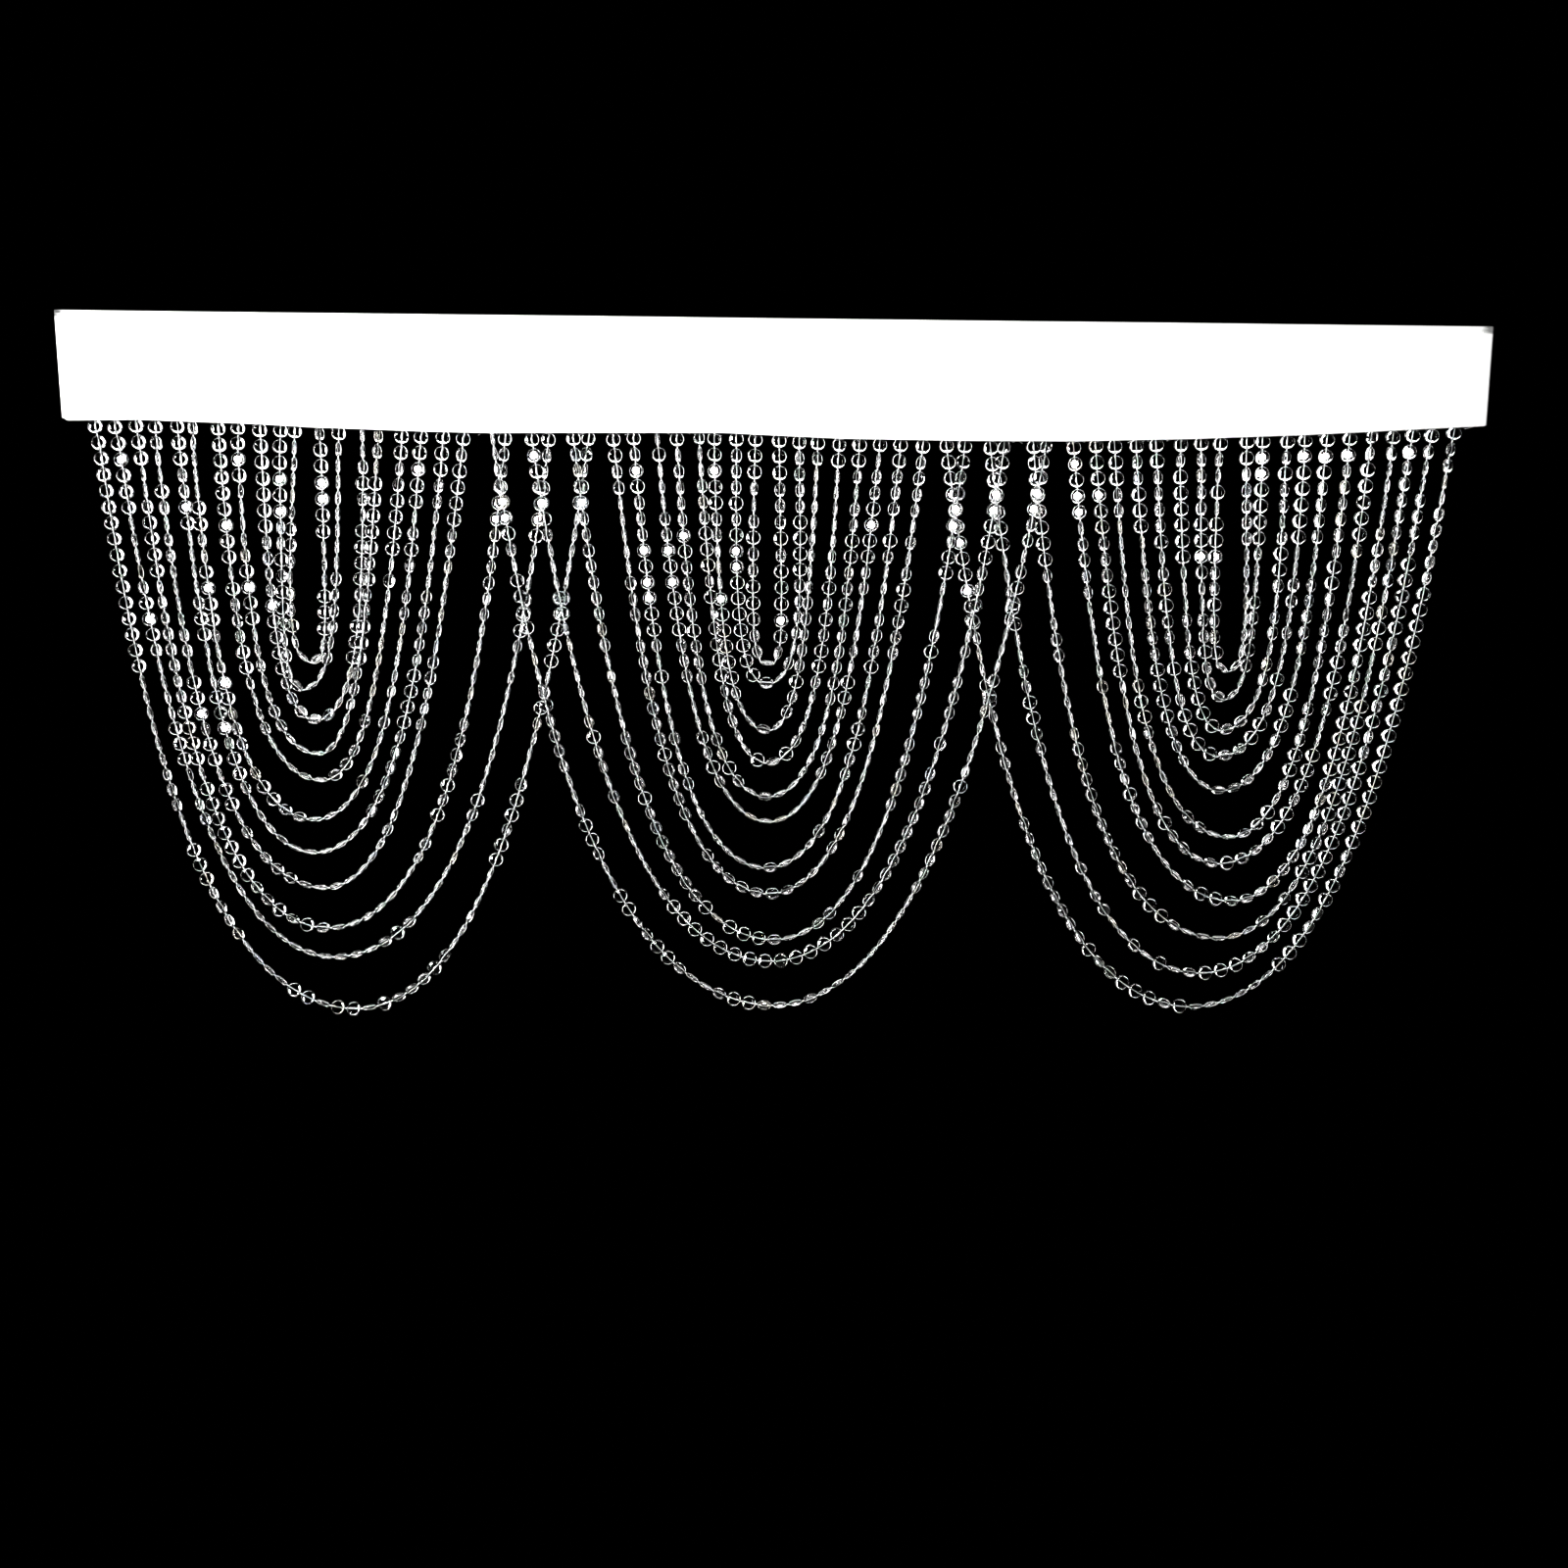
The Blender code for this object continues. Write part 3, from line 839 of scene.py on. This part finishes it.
def side_row(x_side, depth, outward):
    """Stitches that hold the turned-in end of the band."""
    ends = []
    foot = band_foot(x_side)
    for start in np.arange(-4.0 * MM, foot + STITCH_LENGTH + 3.0 * MM, -STITCH_PITCH):
        pair = []
        for z in (start, start - STITCH_LENGTH):
            x = drawn_in_x(x_side, z, foot)
            pair.append((x, depth + float(cloth_depth(x, z)), z))
        ends.append(pair)
    return ends, [(0.0, outward, 0.0)] * len(ends)


def build_stitching(material):
    """Rows through the band and tape, seen on the band's front and on its back."""
    inner = BAND_HALF_WIDTH - SIDE_ROW
    front = -BAND_HALF_DEPTH
    back = BAND_HALF_DEPTH
    tape_back = TAPE_FRONT + TAPE_THICKNESS
    tape_left = TAPE_LEFT + TAPE_END_BARE
    tape_right = TAPE_RIGHT - TAPE_END_BARE
    front_rows = [
        level_row(over_foot(FOOT_ROW), front, -1.0, -inner, inner),
        level_row(over_foot(TAPE_ROW), front, -1.0, -inner, inner),
        level_row(under_top(TOP_ROW), front, -1.0, -inner, inner),
        side_row(-inner, front - SIDE_HEM_STEP, -1.0),
        side_row(inner, front - SIDE_HEM_STEP, -1.0),
    ]
    back_rows = [
        level_row(over_foot(FOOT_ROW), tape_back, 1.0, tape_left, tape_right),
        level_row(over_foot(TAPE_ROW), tape_back, 1.0, tape_left, tape_right),
        level_row(under_top(TOP_ROW), back, 1.0, -inner, inner),
        side_row(-inner, back + SIDE_HEM_STEP, 1.0),
        side_row(inner, back + SIDE_HEM_STEP, 1.0),
    ]
    pieces = []
    for name, rows in (("front_stitching", front_rows), ("back_stitching", back_rows)):
        ends = [pair for row, outs in rows for pair in row]
        outs = [out for row, outs in rows for out in outs]
        pieces.append(place_stitches(name, ends, outs, STITCH_ARCH, material))
    return pieces


def chain_radius(reach, rise):
    """Size of the chain curve that moves sideways by reach over its rise, found by halving."""
    low = 0.01 * MM
    high = 10.0
    for _ in range(80):
        middle = math.sqrt(low * high)
        if middle * math.acosh(1.0 + rise / middle) > reach:
            high = middle
        else:
            low = middle
    return low


def string_side(reach, rise, full):
    """One side of a string as (sideways, up) from its lowest point, as in the part's solids."""
    radius = max(chain_radius(reach, rise), TIGHTEST_BEND)
    widest = radius * math.acosh(1.0 + rise / radius)
    share = np.linspace(0.0, 1.0, SIDE_SAMPLES + 1) ** 2
    neck = 1.0 - (1.0 - reach / widest) * share ** NECK_POWER
    sideways = radius * np.arccosh(1.0 + rise * share / radius) * neck
    sideways += full * np.sin(math.pi * np.sqrt(share))
    return sideways, rise * share


def string_path(row, lift):
    """A string's middle line in space, from its left end in the tape to its right end."""
    place = BeadString(*[value * MM for value in row])
    left_rise = lower_edge(place.left) + ROOT_ABOVE_EDGE - place.low_z
    right_rise = lower_edge(place.right) + ROOT_ABOVE_EDGE - place.low_z
    left_x, left_z = string_side(place.low_x - place.left, left_rise, place.left_full)
    right_x, right_z = string_side(place.right - place.low_x, right_rise, place.right_full)
    x = np.concatenate([place.low_x - left_x[::-1], place.low_x + right_x[1:]])
    z = place.low_z + np.concatenate([left_z[::-1], right_z[1:]])
    below = lower_edge(x) - z
    drop = smooth_step(below / LIFT_RUN)
    behind_tape = smooth_step((below + TAPE_ABOVE_EDGE) / TAPE_ABOVE_EDGE)
    root = LINE_ROOT_BACK + (STRAND_BACK - LINE_ROOT_BACK) * behind_tape
    y = (root + cloth_depth(x, z)) * (1.0 - drop) + (STRAND_BACK + lift) * drop
    return np.stack([x, y, z], axis=1)


def lengths_along(path):
    """How far along the string each of its points is."""
    return np.concatenate([[0.0], np.cumsum(np.linalg.norm(np.diff(path, axis=0), axis=1))])


def at_length(path, along, lengths):
    """The places on a string at some lengths along it."""
    return np.stack([np.interp(lengths, along, path[:, axis]) for axis in range(3)], axis=1)


def bead_places(path, count, draw):
    """Centres and line directions of a string's beads, nearly evenly apart along it."""
    along = lengths_along(path)
    below = lower_edge(path[:, 0]) - path[:, 2] > FIRST_BEAD_BELOW
    first = along[np.argmax(below)]
    last = along[len(below) - 1 - np.argmax(below[::-1])]
    lengths = np.linspace(first, last, count)
    lengths[1:-1] += draw.uniform(-SLIDE, SLIDE, count - 2)
    centres = at_length(path, along, lengths)
    ahead = at_length(path, along, lengths + 1.5 * MM)
    behind = at_length(path, along, lengths - 1.5 * MM)
    directions = ahead - behind
    directions /= np.linalg.norm(directions, axis=1)[:, None]
    return centres, directions


def bead_turns(marks, directions, draw):
    """The angle of each bead about its line, from the marks of its string."""
    wander = np.clip(draw.normal(0.0, 1.0, len(marks)), -2.0, 2.0)
    from_light = np.where(directions[:, 2] < 0.0, 1.0, -1.0)
    faces_viewer = np.array([mark == "O" for mark in marks])
    wander = np.where(faces_viewer, np.abs(wander) * from_light, wander)
    turns = np.array([TURNS[mark] for mark in marks])
    return turns + wander * np.array([TURN_WANDER[mark] for mark in marks])


def bead_aims(centres, marks):
    """Where each bead's face points before it turns: to the camera, or halfway to the softbox."""
    to_camera = np.array(CAMERA_PLACE) - centres
    to_camera /= np.linalg.norm(to_camera, axis=1)[:, None]
    to_light = np.array(SOFTBOX_PLACE) - centres
    to_light /= np.linalg.norm(to_light, axis=1)[:, None]
    shines = np.array([mark == "W" for mark in marks])
    return np.where(shines[:, None], to_camera + to_light, to_camera)


def bead_axes(directions, aims, angles):
    """Each bead's own frame: along its line, across its face, and out of its face."""
    facing = aims - directions * np.sum(directions * aims, axis=1)[:, None]
    facing /= np.linalg.norm(facing, axis=1)[:, None]
    sideways = np.cross(facing, directions)
    out = facing * np.cos(angles)[:, None] + sideways * np.sin(angles)[:, None]
    across = np.cross(out, directions)
    return np.stack([directions, across, out], axis=2)


def half_thickness(from_axis):
    """Half a bead's thickness at a distance from the middle of its face."""
    radii = [0.0] + [ring.radius * MM for ring in BEAD_RINGS_MM]
    halves = [BEAD_RINGS_MM[0].half_thickness * MM] + [ring.half_thickness * MM for ring in BEAD_RINGS_MM]
    return np.interp(from_axis, radii, halves)


def bead_outline():
    """Points on a bead that show whether it meets another: its rings, its middle and its line."""
    angles = np.linspace(0.0, 2.0 * math.pi, 24, endpoint=False)
    circle = np.stack([np.cos(angles), np.sin(angles) * BEAD_ACROSS, np.zeros(24)], axis=1)
    up = np.array((0.0, 0.0, 1.0)) * MM
    rings = [np.zeros((1, 3))]
    for ring in BEAD_RINGS_MM:
        for side in (1.0, -1.0):
            rings.append(circle * ring.radius * MM + side * ring.half_thickness * up)
    reach = BEAD_RADIUS + BEAD_SPACE / 2.0
    rings.append(np.array([(-reach, 0.0, 0.0), (reach, 0.0, 0.0)]))
    return np.concatenate(rings)


def depth_inside(points):
    """How deep points, given in a bead's own frame, lie inside that bead."""
    from_axis = np.linalg.norm(points[:, :2] / (1.0, BEAD_ACROSS), axis=1)
    half = half_thickness(from_axis) + CLEAR_MARGIN
    inside = np.minimum(half - np.abs(points[:, 2]), BEAD_RADIUS + CLEAR_MARGIN - from_axis)
    return float(np.max(inside))


def meeting(first, first_axes, second, second_axes, outline):
    """How deep two beads reach into each other, zero when they are clear."""
    apart = second - first
    into_first = (outline @ second_axes.T + apart) @ first_axes
    into_second = (outline @ first_axes.T - apart) @ second_axes
    return max(depth_inside(into_first), depth_inside(into_second), 0.0)


def near_beads(centres, strings):
    """For each bead, the beads of other strings that are close enough to meet it."""
    near = []
    for index, centre in enumerate(centres):
        close = np.linalg.norm(centres - centre, axis=1) < CLEAR_NEAR
        near.append([other for other in np.nonzero(close)[0] if strings[other] != strings[index]])
    return near


def turn_beads_clear(centres, directions, aims, angles, strings):
    """Turns beads about their lines until those of crowded strings no longer meet."""
    outline = bead_outline()
    near = near_beads(centres, strings)
    axes = bead_axes(directions, aims, angles)
    steps = [0.0]
    for step in range(1, 9):
        steps += [step * TURN_STEP, -step * TURN_STEP]

    def worst(index, own_axes):
        return max(
            meeting(centres[index], own_axes, centres[other], axes[other], outline)
            for other in near[index]
        )

    for _ in range(CLEAR_PASSES):
        touching = 0
        for index, others in enumerate(near):
            if not others or worst(index, axes[index]) == 0.0:
                continue
            touching += 1
            best = None
            for step in steps:
                turned = angles[index] + step
                one = slice(index, index + 1)
                own = bead_axes(directions[one], aims[one], np.array([turned]))[0]
                depth = worst(index, own)
                if best is None or depth < best[0]:
                    best = (depth, turned, own)
                if depth == 0.0:
                    break
            angles[index] = best[1]
            axes[index] = best[2]
        if not touching:
            break
    print("beads still meeting after turning:", touching)
    return axes


def coin_bead_shape():
    """A mesh of one coin bead, its hole along X and its face towards Z."""
    shape = bmesh.new()
    sizes = [(ring, ring.half_thickness) for ring in BEAD_RINGS_MM]
    sizes += [(ring, -ring.half_thickness) for ring in reversed(BEAD_RINGS_MM)]
    rings = []
    for ring, z in sizes:
        step = 2.0 * math.pi / ring.sides
        rings.append([
            shape.verts.new((
                ring.radius * MM * math.cos(step * (index + 0.5)),
                ring.radius * MM * math.sin(step * (index + 0.5)) * BEAD_ACROSS,
                z * MM,
            ))
            for index in range(ring.sides)
        ])
    shape.faces.new(rings[0])
    shape.faces.new(rings[-1])
    for first, second in zip(rings, rings[1:]):
        few, many = sorted((first, second), key=len)
        count = len(few)
        for index in range(count):
            ahead = (index + 1) % count
            if len(many) == count:
                shape.faces.new((few[index], many[index], many[ahead], few[ahead]))
            else:
                own = 2 * index
                shape.faces.new((few[index], many[own], many[own + 1]))
                shape.faces.new((few[index], many[own + 1], many[2 * ahead], few[ahead]))
    bmesh.ops.recalc_face_normals(shape, faces=shape.faces)
    mesh = bpy.data.meshes.new("coin_bead")
    shape.to_mesh(mesh)
    shape.free()
    return mesh


def drilled_bead():
    """The coin bead with its line's hole cut through it: points, triangles, and which are rounded."""
    bead = bpy.data.objects.new("coin_bead", coin_bead_shape())
    bpy.context.scene.collection.objects.link(bead)
    drill_mesh = bpy.data.meshes.new("drill")
    drill_shape = bmesh.new()
    bmesh.ops.create_cone(
        drill_shape, cap_ends=True, segments=8, radius1=BEAD_HOLE_RADIUS,
        radius2=BEAD_HOLE_RADIUS, depth=3.0 * BEAD_RADIUS,
        matrix=Matrix.Rotation(math.pi / 2.0, 4, "Y"),
    )
    drill_shape.to_mesh(drill_mesh)
    drill_shape.free()
    drill = bpy.data.objects.new("drill", drill_mesh)
    bpy.context.scene.collection.objects.link(drill)
    cut = bead.modifiers.new("Hole", "BOOLEAN")
    cut.operation = "DIFFERENCE"
    cut.solver = "EXACT"
    cut.object = drill
    bpy.context.view_layer.update()
    cut_mesh = bead.evaluated_get(bpy.context.evaluated_depsgraph_get()).to_mesh()
    cut_mesh.calc_loop_triangles()
    points = np.array([vertex.co[:] for vertex in cut_mesh.vertices])
    triangles = np.array([triangle.vertices[:] for triangle in cut_mesh.loop_triangles])
    bpy.data.objects.remove(bead, do_unlink=True)
    bpy.data.objects.remove(drill, do_unlink=True)
    from_axis = np.linalg.norm(points[:, :2] / (1.0, BEAD_ACROSS), axis=1)
    from_hole = np.linalg.norm(points[:, 1:], axis=1)
    rounded = np.min(from_axis[triangles], axis=1) > ROUNDED_FROM * 0.995
    rounded &= np.max(from_hole[triangles], axis=1) > BEAD_HOLE_RADIUS * 1.01
    return points, triangles, rounded


def bead_tints(count, draw):
    """A colour for each bead: nearly all clear, a few a little green, amber or blue."""
    tints = np.tile(CLEAR_TINT, (count, 1))
    kinds = draw.random(count)
    tints[kinds < 0.15] = BLUE_TINT
    tints[kinds < 0.12] = AMBER_TINT
    tints[kinds < 0.06] = GREEN_TINT
    return tints


def build_beads(name, centres, axes, tints, shape, material):
    """All beads of one swag as one piece, each with its own tint."""
    points, triangles, rounded = shape
    placed = np.einsum("nij,pj->npi", axes, points) + centres[:, None, :]
    shifts = np.arange(len(centres))[:, None, None] * len(points)
    faces = (triangles[None] + shifts).reshape(-1, 3)
    piece = triangle_piece(name, placed.reshape(-1, 3), faces, material)
    piece.data.polygons.foreach_set("use_smooth", np.tile(rounded, len(centres)))
    layer = piece.data.color_attributes.new("bead_tint", "FLOAT_COLOR", "POINT")
    colors = np.ones((len(centres), len(points), 4), dtype=np.float32)
    colors[:, :, :3] = tints[:, None, :]
    layer.data.foreach_set("color", colors.ravel())
    return piece


def line_points(path, centres, directions):
    """A string's line: up behind the tape at both ends, and straight through every bead."""
    half = BEAD_RADIUS * 0.97
    along = lengths_along(path)
    first = at_length(path, along, LINE_END_STEPS)
    last = at_length(path, along, along[-1] - LINE_END_STEPS[::-1])
    into_tape = np.array((0.0, -LINE_INTO_TAPE, 0.0))
    through = []
    for centre, direction in zip(centres, directions):
        through += [centre - half * direction, centre + half * direction]
    return np.concatenate([
        [first[0] + into_tape], first, through, last, [last[-1] + into_tape],
    ])


def tube(points, radius, sides):
    """Points and triangles of a closed tube along a line that stays near the XZ plane."""
    ahead = np.diff(points, axis=0)
    ahead = np.concatenate([ahead[:1], ahead[:-1] + ahead[1:], ahead[-1:]])
    ahead /= np.linalg.norm(ahead, axis=1)[:, None]
    side = np.cross(ahead, FRONT)
    side /= np.linalg.norm(side, axis=1)[:, None]
    up = np.cross(side, ahead)
    rings = []
    for index in range(sides):
        angle = 2.0 * math.pi * index / sides
        rings.append(points + radius * (math.cos(angle) * side + math.sin(angle) * up))
    vertices = np.stack(rings, axis=1).reshape(-1, 3)
    triangles = []
    for step in range(len(points) - 1):
        for index in range(sides):
            a = step * sides + index
            b = step * sides + (index + 1) % sides
            triangles += [(a, b, b + sides), (a, b + sides, a + sides)]
    last = (len(points) - 1) * sides
    for index in range(1, sides - 1):
        triangles.append((0, index + 1, index))
        triangles.append((last, last + index, last + index + 1))
    return vertices, np.array(triangles)


def build_tubes(name, lines, radius, material):
    """Round lines or threads along the given points, as one piece."""
    vertices = []
    triangles = []
    count = 0
    for points in lines:
        own_vertices, own_triangles = tube(points, radius, LINE_SIDES)
        vertices.append(own_vertices)
        triangles.append(own_triangles + count)
        count += len(own_vertices)
    return triangle_piece(name, np.concatenate(vertices), np.concatenate(triangles), material, smooth=True)


def build_thread_ends(material):
    """Loose ends of thread that stick out under the band's foot, most of them near its right end."""
    draw = np.random.default_rng(THREAD_SEED)
    lines = []
    for _ in range(THREAD_ENDS):
        share = draw.random() ** 0.6
        x = (2.0 * share - 1.0) * (BAND_HALF_WIDTH - 8.0 * MM)
        length = draw.uniform(*THREAD_END_LENGTHS)
        lean, curl = draw.normal(0.0, 0.7, 2)
        steps = np.linspace(0.0, 1.0, 5)
        sideways = length * (lean * steps + curl * steps * steps)
        z = lower_edge(x) + 0.6 * MM - length * steps * (1.0 - 0.3 * steps)
        y = -OUTER_LAYER + float(cloth_depth(x, lower_edge(x))) + 0.3 * MM * steps
        lines.append(np.stack([x + sideways, y, z], axis=1))
    return build_tubes("loose_threads", lines, THREAD_END_RADIUS, material)


def build_tacks(roots, material):
    """Short stitches over each line's end, which hold it down on the tape."""
    ends = []
    for root in roots:
        for index in range(TACK_STITCHES):
            z = root[2] - TACK_FIRST - TACK_PITCH * index
            y = TAPE_FRONT + TAPE_THICKNESS + float(cloth_depth(root[0], z))
            slant = TACK_SLANT if index % 2 else -TACK_SLANT
            ends.append((
                (root[0] - TACK_WIDTH / 2.0, y, z - slant),
                (root[0] + TACK_WIDTH / 2.0, y, z + slant),
            ))
    outward = [(0.0, 1.0, 0.0)] * len(ends)
    return place_stitches("line_tacks", ends, outward, TACK_ARCH, material)


def build_swags(bead_look, line_look, tack_look):
    """All strings of the three swags, and the tacks of their ends."""
    draw = np.random.default_rng(TURN_SEED)
    names, centres, directions, aims, angles, strings, paths = [], [], [], [], [], [], []
    for name, (rows, lifts, charts) in SWAGS.items():
        for row, lift, marks in zip(rows, lifts, charts):
            path = string_path(row, lift * MM)
            places, along = bead_places(path, len(marks), draw)
            names.append(name)
            centres.append(places)
            directions.append(along)
            aims.append(bead_aims(places, marks))
            angles.append(bead_turns(marks, along, draw))
            strings += [len(paths)] * len(marks)
            paths.append(path)
    counts = [len(places) for places in centres]
    splits = np.cumsum(counts)[:-1]
    strings = np.array(strings)
    axes = turn_beads_clear(
        np.concatenate(centres), np.concatenate(directions), np.concatenate(aims),
        np.concatenate(angles), strings,
    )
    axes = np.split(axes, splits)
    tints = np.split(bead_tints(len(strings), draw), splits)
    shape = drilled_bead()
    pieces = []
    for name in SWAGS:
        own = [index for index, owner in enumerate(names) if owner == name]
        pieces.append(build_beads(
            name + "_swag_beads",
            np.concatenate([centres[index] for index in own]),
            np.concatenate([axes[index] for index in own]),
            np.concatenate([tints[index] for index in own]),
            shape, bead_look,
        ))
        lines = [line_points(paths[index], centres[index], directions[index]) for index in own]
        pieces.append(build_tubes(name + "_swag_lines", lines, LINE_RADIUS, line_look))
    roots = [path[end] for path in paths for end in (0, -1)]
    pieces.append(build_tacks(roots, tack_look))
    print("beads:", sum(counts))
    return pieces


def area_light(name, place, size, power, spread=math.pi):
    """A flat light that faces the valance."""
    data = bpy.data.lights.new(name, "AREA")
    data.shape = "RECTANGLE"
    data.size, data.size_y = size
    data.energy = power
    data.spread = spread
    light = bpy.data.objects.new(name, data)
    bpy.context.scene.collection.objects.link(light)
    light.location = place
    toward = Vector(LIGHTS_AIM) - Vector(place)
    light.rotation_euler = toward.to_track_quat("-Z", "Y").to_euler()
    return light


def build_stage(material):
    """A pale floor well below the valance, soft lights around it, and one behind the band's foot."""
    corners = [
        (-FLOOR_HALF_WIDTH, FLOOR_FRONT, FLOOR_HEIGHT),
        (FLOOR_HALF_WIDTH, FLOOR_FRONT, FLOOR_HEIGHT),
        (FLOOR_HALF_WIDTH, FLOOR_BACK, FLOOR_HEIGHT),
        (-FLOOR_HALF_WIDTH, FLOOR_BACK, FLOOR_HEIGHT),
    ]
    new_piece("floor", corners, [(0, 1, 2, 3)], material)
    area_light("Front softbox", SOFTBOX_PLACE, SOFTBOX_SIZE, SOFTBOX_POWER, SOFTBOX_SPREAD)
    band_strip = area_light(
        "Band strip", BAND_STRIP_PLACE, BAND_STRIP_SIZE, BAND_STRIP_POWER, BAND_STRIP_SPREAD,
    )
    band_strip.rotation_euler = STRAIGHT_DOWN
    band_strip.visible_camera = False
    for name, side in (("Left strip", -1.0), ("Right strip", 1.0)):
        place = (side * SIDE_STRIP_ACROSS, STRIPS_BEHIND, SIDE_STRIP_HEIGHT)
        area_light(name, place, SIDE_STRIP_SIZE, SIDE_STRIP_POWER)
    for name, height in (("Top strip", TOP_STRIP_HEIGHT), ("Low strip", LOW_STRIP_HEIGHT)):
        area_light(name, (0.0, STRIPS_BEHIND, height), LEVEL_STRIP_SIZE, LEVEL_STRIP_POWER)
    world = bpy.data.worlds.new("Dark studio")
    world.use_nodes = True
    world.node_tree.nodes["Background"].inputs["Color"].default_value = (0.0, 0.0, 0.0, 1.0)
    bpy.context.scene.world = world
    view = bpy.context.scene.view_settings
    view.view_transform = "Standard"
    view.exposure = EXPOSURE
    view.gamma = GAMMA


def main():
    set_up_camera()
    weave = weave_group()
    cloth_color = cloth_color_group()
    marks = handling_group()
    thread = stitch_material(cloth_color)
    band = build_band(band_cloth_material(weave, cloth_color))
    tape = build_tape(tape_material(weave, cloth_color))
    stitching = build_stitching(thread)
    stitching.append(build_thread_ends(thread))
    strings = build_swags(bead_material(marks), line_material(marks), thread)
    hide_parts("heading_band")
    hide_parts("bead_strings")
    for piece in strings:
        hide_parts("bead_strings")
    for piece in [band, tape] + stitching + strings:
        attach(piece, "root")
    build_stage(floor_material())


main()
